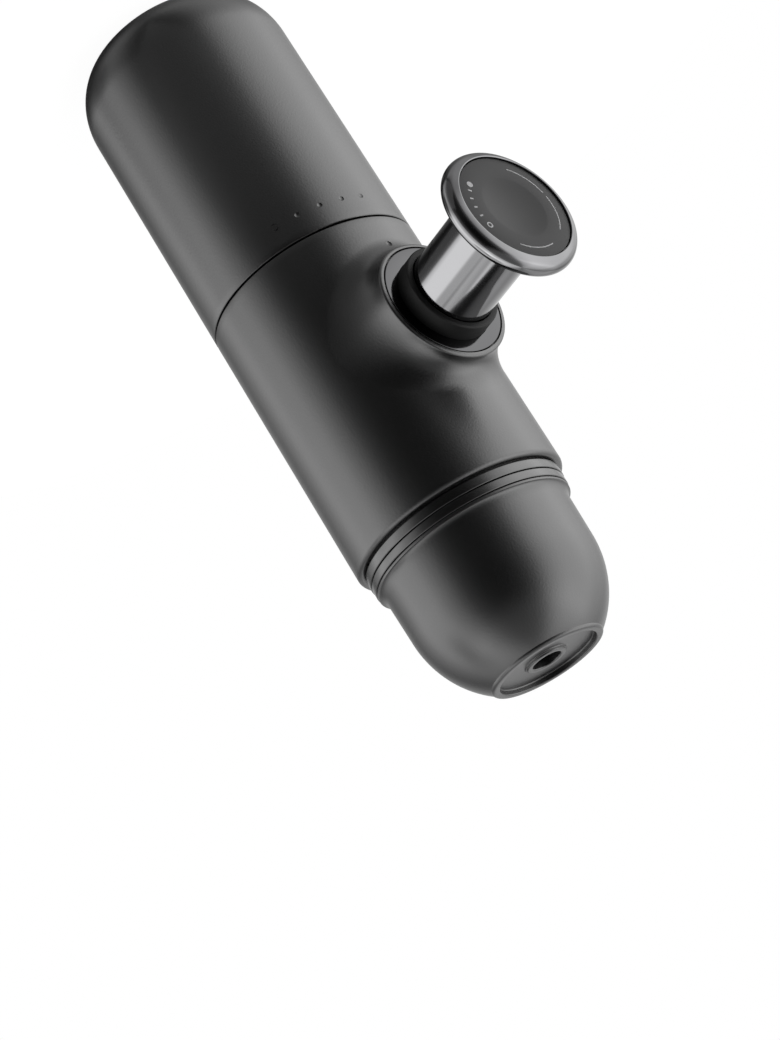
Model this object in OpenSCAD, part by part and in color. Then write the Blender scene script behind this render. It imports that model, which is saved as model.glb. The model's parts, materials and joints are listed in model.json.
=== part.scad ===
// Handheld manual espresso maker: water tank, pump body and outlet head in one line.
// Millimetres. It stands on the flat end of its tank with the outlet up (+Z) and the pump
// knob towards -Y. The origin is the centre of the tank's flat end.

/* [Casing] */
// Outer diameter of the tank and the body
body_d = 60; // [58:0.5:66]
// Wall of the body casing
body_wall = 2.2; // [1.6:0.1:2.6]
// Small chamfer on the casing edges at the seam
edge_chamfer = 0.4; // [0.2:0.1:0.8]
// Height of the seam between tank and body when screwed tight
seam_gap = 0.5; // [0.3:0.1:0.8]
// Length of the body casing from the seam to its lip
body_len = 77.6; // [74:0.2:90]
// Rounding of the lip at the outlet end of the casing
lip_round = 1.3; // [0.6:0.1:1.6]

/* [Water tank] */
// Length of the tank from its flat end to the seam
tank_len = 86.8; // [70:0.2:110]
// Width over which the tank's corner rounds
corner_w = 12.2; // [10:0.2:15]
// Height over which the tank's corner rounds
corner_h = 16.6; // [12:0.2:20]
// Wall of the outer tank shell
tank_wall = 2; // [1.6:0.1:2.2]
// Air gap between the walls of the two tanks
wall_gap = 2.8; // [2:0.1:4]
// Wall of the inner tank
liner_wall = 1.6; // [1.2:0.1:1.8]
// Air space under the inner tank
liner_lift = 4; // [2:0.5:8]
// Wall of the tank's mouth
mouth_wall = 1.9; // [1.6:0.1:2.4]
// Depth of the mouth down to its shoulder
mouth_depth = 11.5; // [10.5:0.5:14]
// How far the body's spigot reaches into the mouth
spigot_len = 9.7; // [9:0.1:10.2]
// Wall of the spigot
spigot_wall = 3.2; // [2.6:0.1:3.6]
// Thickness of the body's two end plates
plate_t = 2.9; // [2.4:0.1:3.4]

/* [Pump] */
// Height of the pump's axis above the seam
pump_rise = 32.6; // [31:0.2:36]
// Wall of the pump cylinder
cylinder_wall = 1.75; // [1.5:0.05:1.9]
// Diameter of the piston rod
rod_d = 6; // [5:0.1:6.4]
// Length of the piston head
piston_len = 6; // [5:0.5:8]
// Outer diameter of the knob's tube
tube_d = 22.44; // [22.2:0.02:22.8]
// Wall of the knob's tube
tube_wall = 1.1; // [0.8:0.1:1.2]
// How far the boss stands out of the casing
boss_rise = 5.5; // [4.5:0.1:8]
// Diameter of the boss on the casing
boss_d = 36.4; // [36.2:0.1:38]
// Width of the boss's rim around the bezel
boss_rim = 1.15; // [0.9:0.05:1.4]
// Width of the blend between the boss and the casing
boss_flare = 7; // [4:0.5:9]
// Height of the guide collar above the bezel
collar_h = 4.8; // [3:0.1:5]
// Wall of the guide collar
collar_wall = 1.8; // [1.4:0.1:2]
// Wire diameter of the return spring
spring_wire_d = 1.1; // [0.8:0.1:1.2]
// Turns of the return spring
spring_turns = 20; // [12:1:24]
// Radial clearance of the return spring on both sides
spring_gap = 0.51; // [0.3:0.01:0.6]

/* [Knob] */
// Diameter of the knob's lower flange
flange_d = 37.66; // [36:0.1:40]
// How far the knob's upper rim stands inside the flange's edge
rim_step = 0.23; // [0:0.01:1]
// Width of the rim around the inlay
rim_wall = 3; // [2:0.1:4]
// Diameter of the dished middle of the inlay
dish_d = 18; // [14:1:22]
// Depth of the dish
dish_depth = 0.8; // [0.4:0.1:1]

/* [Brewing group] */
// How far the threaded neck stands inside the casing's bore
neck_step = 3.4; // [3:0.1:4.4]
// Wall of the threaded neck
neck_wall = 3.9; // [3:0.1:4.4]
// Reach of the neck beyond the lip
neck_h = 11.5; // [9.5:0.1:11.5]
// Thickness of the perforated screens
screen_t = 0.8; // [0.5:0.1:1.2]
// Thickness of the group gasket
gasket_t = 2; // [1.5:0.1:2.5]
// Wall of the filter basket
basket_wall = 0.8; // [0.5:0.1:1]
// How far the outlet head reaches into the chamber to press on the basket
pusher_len = 2.5; // [2.2:0.1:5]

/* [Outlet head] */
// Length of the head from its top edge to the rim at its outlet
head_len = 37.2; // [34:0.2:44]
// How far the head's side stands inside the casing's
head_step = 3.35; // [3:0.05:3.6]
// How far the bead at the head's top edge stands inside the casing's side
bead_step = 2; // [1.5:0.1:2.5]
// Diameter of the rim around the outlet recess
outlet_rim_d = 32.2; // [28:0.2:36]
// Depth of the outlet recess
recess_depth = 1.6; // [1:0.1:2.4]
// Wall of the head
head_wall = 1.75; // [1.4:0.05:1.75]
// How far the neck ring below the lip stands inside the casing's side
neck_ring_step = 1.6; // [1.3:0.1:2]
// Height of the neck ring
neck_ring_h = 2.6; // [2:0.1:3]
// How far the collar ring on the head stands inside the casing's side
collar_ring_step = 1.8; // [1.5:0.1:2.2]
// Height of the collar ring on the head
collar_ring_h = 2.3; // [1.8:0.1:2.6]
// Gap between the two rings when screwed tight
ring_gap = 0.7; // [0.4:0.1:1]
// Bore of the spout
spout_bore_d = 8; // [6:0.2:9]
// Wall of the spout
spout_wall = 1.6; // [1.2:0.1:2]

/* [Valves] */
// Bore of the water ports
port_d = 2.6; // [2:0.1:3]
// Diameter of the valve balls
ball_d = 4.4; // [4:0.1:4.8]
// Outer diameter of the valve bodies
valve_d = 9; // [8.6:0.1:9.6]
// Length of the outlet valve's body
outlet_valve_len = 12.7; // [11.5:0.1:15]
// Wire diameter of the valve springs
valve_wire_d = 0.5; // [0.3:0.05:0.6]

/* [Fits] */
// Radial clearance of shafts that run in their holes
run_gap = 0.08; // [0.03:0.01:0.1]
// Radial clearance of fixed pieces in their seats
fit_gap = 0.1; // [0.05:0.01:0.15]
// Radial clearance of the screw threads
thread_gap = 0.4; // [0.3:0.05:0.5]

/* [Hidden] */
$fn = 96;

black = [0.09, 0.09, 0.1];
dark = [0.16, 0.16, 0.17];
rubber = [0.05, 0.05, 0.05];
steel = [0.62, 0.62, 0.64];
gunmetal = [0.34, 0.34, 0.36];
grey_plastic = [0.3, 0.3, 0.31];

arc_n = 14;            // straight steps in a rounded corner of an outline
body_r = body_d / 2;
body_bore_r = body_r - body_wall;
seam_z = tank_len;
body_z = seam_z + seam_gap;
lip_z = seam_z + body_len;
pump_z = seam_z + pump_rise;

// tank
foot_r = body_r - corner_w;
shell_bore_r = body_r - tank_wall;
mouth_r = shell_bore_r - fit_gap - mouth_wall;
liner_r = shell_bore_r - wall_gap;
liner_bore_r = liner_r - liner_wall;
liner_floor_z = tank_wall + liner_lift;
corner_tight_w = 2.2;                 // how much less the inner tank's corner rounds sideways
corner_tight_h = 2.6;                 // and in height
liner_corner_r = liner_r - corner_w + corner_tight_w;      // where that corner starts
liner_corner_h = corner_h - tank_wall - corner_tight_h;

// spigot that screws into the tank, and its seal
spigot_r = mouth_r - thread_gap;
spigot_bore_r = spigot_r - spigot_wall;
spigot_end_z = seam_z - spigot_len;
seal_wire_r = 0.85;
seal_r = mouth_r - run_gap - seal_wire_r;
seal_z = seam_z - spigot_len * 2 / 3;
groove_slack = 0.15;

// end plates of the body
plate_r = body_bore_r - fit_gap;
tank_plate_z = body_z + plate_t;                // body side of the tank plate

// pump, measured along its own axis from the maker's axis towards the knob
boss_r = boss_d / 2;
boss_reach = body_r + boss_rise;                // the bezel's face
tube_r = tube_d / 2;
tube_bore_r = tube_r - tube_wall;
spring_wire_r = spring_wire_d / 2;
spring_r = tube_bore_r - spring_gap - spring_wire_r;
cylinder_r = spring_r - spring_wire_r - spring_gap;
pump_bore_r = cylinder_r - cylinder_wall;
rod_r = rod_d / 2;
stop_flange = 1.4;                    // how far the tube's stop flange stands out
stop_t = 2;                           // thickness of the stop flange
stop_gap = 0.2;
collar_bore_r = tube_r + run_gap;
collar_r = collar_bore_r + collar_wall;
collar_foot_r = collar_r + 1.4;
collar_foot_t = 2;
collar_foot_h = sqrt(pow(body_bore_r, 2) - pow(collar_foot_r, 2)) - fit_gap;
collar_start_h = collar_foot_h - collar_foot_t;
tube_start_h = collar_start_h - stop_gap - stop_t;
collar_top_h = boss_reach + collar_h;
block_half_x = pump_bore_r + 0.75;
block_half_z = cylinder_r + 2;
end_wall = 3;
port_r = port_d / 2;
port_edge = 0.2;                      // wall left between port and bore end
port_inset = 1.8;                     // from a port's edge to the wall of the brewing chamber
neck_r = body_bore_r - neck_step;
group_bore_r = neck_r - neck_wall;
valve_y = group_bore_r - port_r - port_inset;
valve_h = -valve_y;                   // distance of the valve ports along the pump's axis
bore_end_h = valve_h - port_r - port_edge;
cylinder_end_h = bore_end_h - end_wall;
valve_margin = 1;                     // block left beside the valves
block_top_h = valve_h + valve_d / 2 + valve_margin;
clamp_len = 5;                        // the chassis's clamp ring fits on the cylinder here
spring_seat_t = 2;
spring_seat_h = block_top_h + clamp_len + spring_seat_t;
spring_clear = 0.8;                   // left between the pressed tube and the spring's seat
stroke = tube_start_h - spring_clear - spring_seat_h;      // the knob's travel
knob_gap = 0.3;                       // left between the knob and the collar when pressed
knob_foot_h = collar_top_h + stroke + knob_gap;      // underside of the knob's flange
dead_space = 1.2;
piston_h = bore_end_h + dead_space + stroke + port_d;
bore_spare = 10;                      // bore left between the resting piston and the gland
cylinder_open_h = piston_h + piston_len + bore_spare;
gland_plug = 3;
gland_t = 2.5;
rod_seat = 3;                         // depth of the rod in the piston head
hub_len = 4;                          // hub under the knob's flange that turns on the rod
hub_r = rod_r + 2.4;
spigot_in_tube = 2;                   // flange's spigot inside the tube
screw_r = 1.6;
screw_head_r = 3;
screw_head_t = 1.5;
screw_len = 9;

// knob outline
flange_r = flange_d / 2;
rim_r = flange_r - rim_step;
inlay_r = rim_r - rim_wall;
flange_taper = 1.0;
flange_edge = 1.7;
flange_t = 4.4;
flange_top_h = knob_foot_h + flange_t;
rim_h = 2.2;
inlay_t = 1.55;
knob_top_h = flange_top_h + fit_gap + rim_h;

// brewing group
group_plate_z = pump_z + block_half_z + outlet_valve_len;
group_floor_z = group_plate_z + plate_t;        // floor of the brewing chamber
neck_end_z = lip_z + neck_h;
neck_flange_t = 4;
shower_gap = 1.2;                     // water space above the brewing chamber's floor
shower_z = group_floor_z + shower_gap;
gasket_z = shower_z + screen_t;
basket_z = gasket_z + gasket_t;
basket_rim_r = group_bore_r - 0.2;
basket_rim_t = 1.2;
basket_r = basket_rim_r - 0.7;
basket_end_z = neck_end_z - pusher_len;
basket_ledge = 3.4;
gasket_in_r = basket_r - 2.6;
screen_hole_r = 0.55;
screen_pitch = 3.4;
screen_rings = 4;
shower_boss_r = 4;
shower_screw_r = 1.5;

// outlet head
neck_ring_r = body_r - neck_ring_step;
ring_round = 0.4;
head_top_z = lip_z + neck_ring_h + ring_gap;
collar_ring_r = body_r - collar_ring_step;
bead_z = head_top_z + collar_ring_h;
bead_r = body_r - bead_step;
bead_round = 0.7;
bead_h = 3.8;
head_r = body_r - head_step;
head_thread_r = neck_r + thread_gap;
head_sleeve_r = head_thread_r + 1.5;
head_end_z = bead_z + head_len;
dome_b = 27.9;                        // axial half axis of the head's elliptical end
head_taper = 0.25;
dome_a = head_r - head_taper;
outlet_rim_r = outlet_rim_d / 2;
dome_end_t = acos(outlet_rim_r / dome_a);
dome_z = head_end_z - rim_soft() - dome_b * sin(dome_end_t);
rim_width = 2.2;
recess_r = outlet_rim_r - rim_width;
recess_z = head_end_z - recess_depth;
end_t = 2.4;
end_in_z = recess_z - end_t;
spout_bore_r = spout_bore_d / 2;
spout_r = spout_bore_r + spout_wall;
spout_rise = 0.8;                     // how far the spout stands above the recess
spout_lip = 0.6;
spout_end_z = recess_z + spout_rise;
spout_start_z = end_in_z - 3;
funnel_flange_t = 2.4;
funnel_z = neck_end_z + 1;
funnel_flange_z = funnel_z + funnel_flange_t;
pusher_r = group_bore_r - 0.4;
pusher_bore_r = pusher_r - 2.6;
head_seal_wire_r = 0.8;
head_seal_r = group_bore_r - run_gap - head_seal_wire_r;
seat_gap = 0.1;
pusher_z = basket_end_z + seat_gap;
head_seal_z = (pusher_z + neck_end_z) / 2;

// valves
valve_r = valve_d / 2;
valve_bore_r = ball_d / 2 + 0.8;
ball_r = ball_d / 2;
seat_t = 1.8;
ball_gap = 0.05;
ball_rise = sqrt(pow(ball_r + ball_gap, 2) - pow(port_r, 2));    // ball centre above its seat
valve_wire_r = valve_wire_d / 2;
valve_spring_r = 1.8;
valve_spring_rise = sqrt(pow(ball_r + valve_wire_r + ball_gap, 2) - pow(valve_spring_r, 2));
valve_spring_len = 5.5;
valve_turns = 5;
vent_r = 2.5;
vent_head_r = 4.2;
vent_head_t = 1.2;
vent_y = -14;

function rim_soft() = 0.9;            // rounding of the rim around the outlet

// Points of an elliptical arc, from angle a0 to a1.
function arc(cx, cy, rx, ry, a0, a1, n = arc_n) =
    [for (i = [0:n]) let (a = a0 + (a1 - a0) * i / n) [cx + rx * cos(a), cy + ry * sin(a)]];

// Places children on the pump's axis: their Z runs from the maker's axis to the knob.
module along_pump() {
    translate([0, 0, pump_z]) rotate([90, 0, 0]) children();
}

// A plain round ring between two heights.
module ring(r_out, r_in, z0, z1) {
    translate([0, 0, z0]) difference() {
        cylinder(r = r_out, h = z1 - z0);
        translate([0, 0, -1]) cylinder(r = r_in, h = z1 - z0 + 2);
    }
}

// A ring with rounded outer edges.
module soft_ring(r_out, r_in, z0, z1, soft) {
    rotate_extrude() polygon(concat(
        [[r_in, z0]],
        arc(r_out - soft, z0 + soft, soft, soft, -90, 0, 5),
        arc(r_out - soft, z1 - soft, soft, soft, 0, 90, 5),
        [[r_in, z1]]));
}

module o_ring(r_mid, r_wire, z) {
    translate([0, 0, z]) rotate_extrude() translate([r_mid, 0]) circle(r = r_wire, $fn = 32);
}

// A round wire wound into a helix that stands on z = 0.
module coil(r_mid, r_wire, length, turns, steps, sides) {
    rings = turns * steps;
    rise = length - 2 * r_wire;
    points = [for (i = [0:rings], j = [0:sides - 1])
        let (a = 360 * i / steps, b = 360 * j / sides, r = r_mid + r_wire * cos(b))
        [r * cos(a), r * sin(a), r_wire + rise * i / rings + r_wire * sin(b)]];
    last = rings * sides;
    walls = [for (i = [0:rings - 1], j = [0:sides - 1], half = [0, 1])
        let (p = i * sides + j, q = i * sides + (j + 1) % sides)
        half == 0 ? [p, q, q + sides] : [p, q + sides, p + sides]];
    start_cap = [[for (j = [sides - 1:-1:0]) j]];
    end_cap = [[for (j = [0:sides - 1]) last + j]];
    echo("least gap between turns", rise / turns - 2 * r_wire);
    polyhedron(points = points, faces = concat(walls, start_cap, end_cap), convexity = 10);
}

// Round holes in rings about the middle of a screen.
module screen_holes(first_ring, rings) {
    for (k = [first_ring:rings], i = [0:6 * k - 1])
        rotate([0, 0, 60 * i / k]) translate([screen_pitch * k, 0, -1])
            cylinder(r = screen_hole_r, h = screen_t + 2, $fn = 16);
}

// ---------------------------------------------------------------- water tank

module tank_shell() {
    color(black) rotate_extrude() polygon(concat(
        [[0, 0]],
        arc(foot_r, corner_h, body_r - foot_r, corner_h, -90, 0),
        [[body_r, seam_z - edge_chamfer], [body_r - edge_chamfer, seam_z], [shell_bore_r, seam_z]],
        arc(foot_r, corner_h, shell_bore_r - foot_r, corner_h - tank_wall, 0, -90),
        [[0, tank_wall]]));
}

module tank_liner() {
    shoulder_z = seam_z - mouth_depth;
    ring_r = shell_bore_r - fit_gap;
    corner_z = liner_floor_z + liner_corner_h;
    color(grey_plastic) rotate_extrude() polygon(concat(
        [[0, liner_floor_z]],
        arc(liner_corner_r, corner_z, liner_r - liner_corner_r, liner_corner_h, -90, 0),
        [[liner_r, shoulder_z - liner_wall], [ring_r, shoulder_z - liner_wall], [ring_r, seam_z],
         [mouth_r, seam_z], [mouth_r, shoulder_z], [liner_bore_r, shoulder_z]],
        arc(liner_corner_r, corner_z, liner_bore_r - liner_corner_r, liner_corner_h - liner_wall,
            0, -90),
        [[0, liner_floor_z + liner_wall]]));
}

module tank_seal() {
    color(rubber) o_ring(seal_r, seal_wire_r, seal_z);
}

// ---------------------------------------------------------------- body

module casing_tube() {
    rotate_extrude() polygon(concat(
        [[body_bore_r, body_z], [body_r - edge_chamfer, body_z], [body_r, body_z + edge_chamfer]],
        arc(body_r - lip_round, lip_z - lip_round, lip_round, lip_round, 0, 60, 6),
        [[body_r - lip_round, lip_z], [body_bore_r, lip_z]]));
}

// The round boss that carries the pump, with a rounded rim.
module boss() {
    rim_soft_r = 0.6;
    along_pump() rotate_extrude() polygon(concat(
        [[0, 0], [boss_r, 0]],
        arc(boss_r - rim_soft_r, boss_reach - rim_soft_r, rim_soft_r, rim_soft_r, 0, 90, 5),
        [[0, boss_reach]]));
}

// Height of the casing's surface at a place beside the pump's axis.
function casing_h(r, a) = sqrt(pow(body_r, 2) - pow(r * cos(a), 2));

// Hollow blend that runs out of the boss's wall into the casing, drawn in rings around the pump.
module boss_blend() {
    sides = 60;
    steps = 8;
    end_turn = 80;                     // just short of a quarter, so that it meets the casing crisply
    top_h = boss_reach - 1;
    sink = 1;                          // how far its two ends lie inside the solids they join
    // each ring's radius, and its share of the height from the casing to the boss's top
    rings = concat(
        [[boss_r - sink, 1]],
        [for (j = [1:steps]) let (t = end_turn * j / steps)
            [boss_r + boss_flare * (1 - cos(t)), 1 - sin(t)]],
        [[boss_r + boss_flare * (1 - cos(end_turn)), -1]]);
    count = len(rings);
    points = [for (g = rings, i = [0:sides - 1])
        let (a = 360 * i / sides, base = casing_h(g[0], a),
             h = g[1] < 0 ? base - sink : base + (top_h - base) * g[1])
        [g[0] * cos(a), g[0] * sin(a), h]];
    walls = [for (j = [0:count - 2], i = [0:sides - 1], half = [0, 1])
        let (p = j * sides + i, q = j * sides + (i + 1) % sides)
        half == 0 ? [p, q, q + sides] : [p, q + sides, p + sides]];
    top = [[for (i = [sides - 1:-1:0]) i]];
    hub = len(points);                 // one point inside the casing closes the underside
    last = (count - 1) * sides;
    underside = [for (i = [0:sides - 1]) [hub, last + (i + 1) % sides, last + i]];
    along_pump() polyhedron(
        points = concat(points, [[0, 0, body_r / 2]]),
        faces = concat(walls, top, underside));
}

module body_shell() {
    bezel_seat_r = boss_r - boss_rim;
    color(black) difference() {
        union() {
            casing_tube();
            boss();
            boss_blend();
        }
        translate([0, 0, body_z - 1]) cylinder(r = body_bore_r, h = lip_z - body_z + 2);
        along_pump() {
            cylinder(r = collar_r + fit_gap, h = boss_reach + 1);
            translate([0, 0, boss_reach - bezel_t()])
                cylinder(r = bezel_seat_r, h = bezel_t() + 1);
        }
    }
}

function bezel_t() = 2;

module boss_bezel() {
    bezel_r = boss_r - boss_rim - 0.38;
    color(grey_plastic) along_pump()
        soft_ring(bezel_r, collar_r + fit_gap, boss_reach - bezel_t(), boss_reach, 0.2);
}

module guide_collar() {
    top_taper = 0.6;
    color(rubber) along_pump() rotate_extrude() polygon([
        [collar_bore_r, collar_start_h], [collar_foot_r, collar_start_h],
        [collar_foot_r, collar_foot_h], [collar_r, collar_foot_h],
        [collar_r, boss_reach], [collar_r - top_taper / 2, collar_top_h - top_taper],
        [collar_r - top_taper, collar_top_h], [collar_bore_r, collar_top_h]]);
}

module tank_spigot() {
    groove_r = seal_r - seal_wire_r - groove_slack;
    groove_half = seal_wire_r + groove_slack;
    color(dark) difference() {
        union() {
            translate([0, 0, body_z]) cylinder(r = plate_r, h = plate_t);
            ring(spigot_r, spigot_bore_r, spigot_end_z, body_z + plate_t / 2);
        }
        ring(spigot_r + 1, groove_r, seal_z - groove_half, seal_z + groove_half);
        translate([0, valve_y, body_z - 1]) cylinder(r = port_r, h = plate_t + 2);
        translate([0, vent_y, body_z - 1]) cylinder(r = vent_r + fit_gap, h = plate_t + 2);
    }
}

// One-way vent: lets air into the tank as the pump draws water out.
module vent_valve() {
    color(rubber) translate([0, vent_y, 0]) {
        translate([0, 0, tank_plate_z]) cylinder(r = vent_head_r, h = vent_head_t);
        translate([0, 0, body_z]) cylinder(r = vent_r, h = plate_t);
        translate([0, 0, body_z - vent_r]) cylinder(r1 = vent_r / 4, r2 = vent_r, h = vent_r);
    }
}

// Frame between the two end plates that clamps the pump cylinder.
module chassis() {
    cheek_x = block_half_x + 2.5;
    cheek_t = 3.5;
    clamp_r = cylinder_r + 4;
    clamp_h = spring_seat_h - spring_seat_t;
    cheek_y = -clamp_h;
    cheek_depth = 12;
    color(grey_plastic) difference() {
        union() {
            for (side = [-1, 1])
                translate([side > 0 ? cheek_x : -cheek_x - cheek_t, cheek_y, tank_plate_z])
                    cube([cheek_t, cheek_depth, group_plate_z - tank_plate_z]);
            along_pump() translate([0, 0, block_top_h])
                cylinder(r = clamp_r, h = clamp_h - block_top_h);
        }
        along_pump() translate([0, 0, block_top_h - 1])
            cylinder(r = cylinder_r + fit_gap, h = clamp_h - block_top_h + 2);
    }
}

module pump_cylinder() {
    color(steel) along_pump() difference() {
        union() {
            translate([0, 0, block_top_h]) cylinder(r = cylinder_r, h = cylinder_open_h - block_top_h);
            translate([0, 0, spring_seat_h - spring_seat_t])
                cylinder(r = tube_bore_r, h = spring_seat_t);
            translate([-block_half_x, -block_half_z, cylinder_end_h])
                cube([2 * block_half_x, 2 * block_half_z, block_top_h - cylinder_end_h]);
        }
        translate([0, 0, bore_end_h]) cylinder(r = pump_bore_r, h = cylinder_open_h - bore_end_h + 1);
        translate([0, 0, valve_h]) rotate([90, 0, 0])
            cylinder(r = port_r, h = 2 * block_half_z + 2, center = true);
    }
}

// Screwed into the cylinder's open end, it guides the rod.
module cylinder_gland() {
    color(dark) along_pump() difference() {
        union() {
            translate([0, 0, cylinder_open_h - gland_plug])
                cylinder(r = pump_bore_r - fit_gap, h = gland_plug);
            translate([0, 0, cylinder_open_h]) cylinder(r = cylinder_r, h = gland_t);
        }
        translate([0, 0, cylinder_open_h - gland_plug - 1])
            cylinder(r = rod_r + run_gap, h = gland_plug + gland_t + 2);
    }
}

module return_spring() {
    spring_top_h = knob_foot_h - spigot_in_tube;
    color(steel) along_pump() translate([0, 0, spring_seat_h])
        coil(spring_r, spring_wire_r, spring_top_h - spring_seat_h, spring_turns, 12, 6);
}

// ---------------------------------------------------------------- piston

module piston_rod() {
    rod_start = piston_h + piston_len - rod_seat + ball_gap;
    rod_end = knob_foot_h;
    color(steel) along_pump() difference() {
        translate([0, 0, rod_start]) cylinder(r = rod_r, h = rod_end - rod_start);
        translate([0, 0, rod_end - screw_len]) cylinder(r = screw_r + ball_gap, h = screw_len + 1);
    }
}

module piston_head() {
    piston_r = pump_bore_r - run_gap;
    groove_w = 2;
    groove_d = 1.3;
    color(dark) along_pump() difference() {
        translate([0, 0, piston_h]) cylinder(r = piston_r, h = piston_len);
        ring(piston_r + 1, piston_r - groove_d, piston_h + 1, piston_h + 1 + groove_w);
        translate([0, 0, piston_h + piston_len - rod_seat])
            cylinder(r = rod_r + ball_gap, h = rod_seat + 1);
    }
}

module piston_seal() {
    seal_wire = 0.65;
    color(rubber) along_pump() o_ring(pump_bore_r - run_gap / 2 - seal_wire, seal_wire, piston_h + 2);
}

// Shoulder screw that holds the knob on the rod and lets it turn.
module knob_screw() {
    head_h = flange_top_h - screw_head_t;
    color(steel) along_pump() {
        translate([0, 0, knob_foot_h - screw_len + ball_gap])
            cylinder(r = screw_r, h = head_h - knob_foot_h + screw_len);
        translate([0, 0, head_h]) cylinder(r = screw_head_r, h = screw_head_t - fit_gap);
    }
}

// ---------------------------------------------------------------- knob

module knob_sleeve() {
    sleeve_end = knob_foot_h;
    color(gunmetal) along_pump() rotate_extrude() polygon([
        [tube_bore_r, tube_start_h], [tube_r + stop_flange, tube_start_h],
        [tube_r + stop_flange, tube_start_h + stop_t], [tube_r, tube_start_h + stop_t],
        [tube_r, sleeve_end], [tube_bore_r, sleeve_end]]);
}

module knob_flange() {
    tube_spigot_r = tube_bore_r - fit_gap;
    spigot_h = knob_foot_h - spigot_in_tube;
    hub_h = spigot_h - hub_len;
    hub_bore_r = rod_r + run_gap;
    screw_bore_r = screw_r + run_gap;
    pocket_h = flange_top_h - screw_head_t - fit_gap;
    color(gunmetal) along_pump() rotate_extrude() polygon(concat(
        [[hub_bore_r, hub_h], [hub_r, hub_h], [hub_r, spigot_h], [tube_spigot_r, spigot_h],
         [tube_spigot_r, knob_foot_h], [tube_r + 0.2, knob_foot_h],
         [tube_r + 0.8, knob_foot_h + flange_taper], [flange_r - flange_edge, knob_foot_h + 1.6]],
        arc(flange_r - flange_edge, flange_top_h - 1.2, flange_edge, 1.6, -90, 0, 6),
        [[flange_r - 0.4, flange_top_h - 0.5], [rim_r - 0.5, flange_top_h],
         [screw_head_r + fit_gap, flange_top_h], [screw_head_r + fit_gap, pocket_h],
         [screw_bore_r, pocket_h], [screw_bore_r, knob_foot_h + fit_gap],
         [hub_bore_r, knob_foot_h + fit_gap]]));
}

module knob_rim() {
    rim_base_h = flange_top_h;
    crest = 1.1;
    color(steel) along_pump() rotate_extrude() polygon(concat(
        [[inlay_r + fit_gap, rim_base_h], [rim_r - 0.5, rim_base_h], [rim_r, rim_base_h + 0.6]],
        arc(rim_r - crest, knob_top_h - crest, crest, crest, 0, 90, 6),
        [[inlay_r + 0.6, knob_top_h - 0.3], [inlay_r + fit_gap, knob_top_h - 0.9]]));
}

module knob_inlay() {
    dish_r = dish_d / 2;
    base_h = flange_top_h;
    top_h = base_h + inlay_t;
    color(dark) along_pump() rotate_extrude() polygon([
        [0, base_h], [inlay_r, base_h], [inlay_r, top_h - 0.15], [inlay_r - 0.15, top_h],
        [dish_r, top_h], [dish_r - 1.2, top_h - dish_depth * 0.75],
        [dish_r - 3, top_h - dish_depth], [0, top_h - dish_depth]]);
}

// ---------------------------------------------------------------- valves

// Round housing with a chamber for the ball and its spring, and a port beyond it.
module valve_body(z0, z1) {
    chamber_end = z0 + seat_t + ball_rise + valve_spring_rise + valve_spring_len;
    translate([0, valve_y, 0]) difference() {
        translate([0, 0, z0]) cylinder(r = valve_r, h = z1 - z0);
        translate([0, 0, z0 - 1]) cylinder(r = valve_bore_r, h = chamber_end - z0 + 1);
        translate([0, 0, z0 - 1]) cylinder(r = port_r, h = z1 - z0 + 2);
    }
}

module valve_seat(z0) {
    translate([0, valve_y, 0]) ring(valve_bore_r - fit_gap / 2, port_r, z0, z0 + seat_t);
}

module valve_ball(z0) {
    translate([0, valve_y, z0 + seat_t + ball_rise]) sphere(r = ball_r);
}

module valve_spring(z0) {
    translate([0, valve_y, z0 + seat_t + ball_rise + valve_spring_rise - valve_wire_r])
        coil(valve_spring_r, valve_wire_r, valve_spring_len + valve_wire_r - ball_gap, valve_turns, 12, 6);
}

module inlet_valve_body() { color(grey_plastic) valve_body(tank_plate_z, pump_z - block_half_z); }
module inlet_seat() { color(rubber) valve_seat(tank_plate_z); }
module inlet_ball() { color(steel) valve_ball(tank_plate_z); }
module inlet_spring() { color(steel) valve_spring(tank_plate_z); }
module outlet_valve_body() { color(grey_plastic) valve_body(pump_z + block_half_z, group_plate_z); }
module outlet_seat() { color(rubber) valve_seat(pump_z + block_half_z); }
module outlet_ball() { color(steel) valve_ball(pump_z + block_half_z); }
module outlet_spring() { color(steel) valve_spring(pump_z + block_half_z); }

// ---------------------------------------------------------------- brewing group

// Plate, chamber wall and threaded neck in one piece.
module group_head() {
    screw_hole_depth = 3.5;
    color(dark) difference() {
        union() {
            translate([0, 0, group_plate_z]) cylinder(r = plate_r, h = plate_t);
            ring(neck_r, group_bore_r, group_plate_z + plate_t / 2, neck_end_z);
            ring(plate_r, neck_r - 1, lip_z - neck_flange_t, lip_z);
            ring(group_bore_r + 1, group_bore_r - 1.2, group_floor_z - 1, shower_z);
            translate([0, 0, group_floor_z - 1]) cylinder(r = shower_boss_r, h = shower_gap + 1);
        }
        translate([0, valve_y, group_plate_z - 1]) cylinder(r = port_r, h = plate_t + 2);
        translate([0, 0, shower_z - screw_hole_depth])
            cylinder(r = shower_screw_r + ball_gap, h = screw_hole_depth + 1);
    }
}

module shower_screen() {
    color(steel) translate([0, 0, shower_z]) difference() {
        cylinder(r = group_bore_r - fit_gap, h = screen_t);
        translate([0, 0, -1]) cylinder(r = shower_screw_r + fit_gap, h = screen_t + 2);
        screen_holes(2, screen_rings);
    }
}

module shower_screw() {
    shaft = 3.2;
    head_r = 3;
    head_t = 1.4;
    color(steel) {
        translate([0, 0, shower_z - shaft]) cylinder(r = shower_screw_r, h = shaft + screen_t);
        translate([0, 0, shower_z + screen_t]) cylinder(r1 = head_r, r2 = head_r - 0.8, h = head_t);
    }
}

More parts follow.
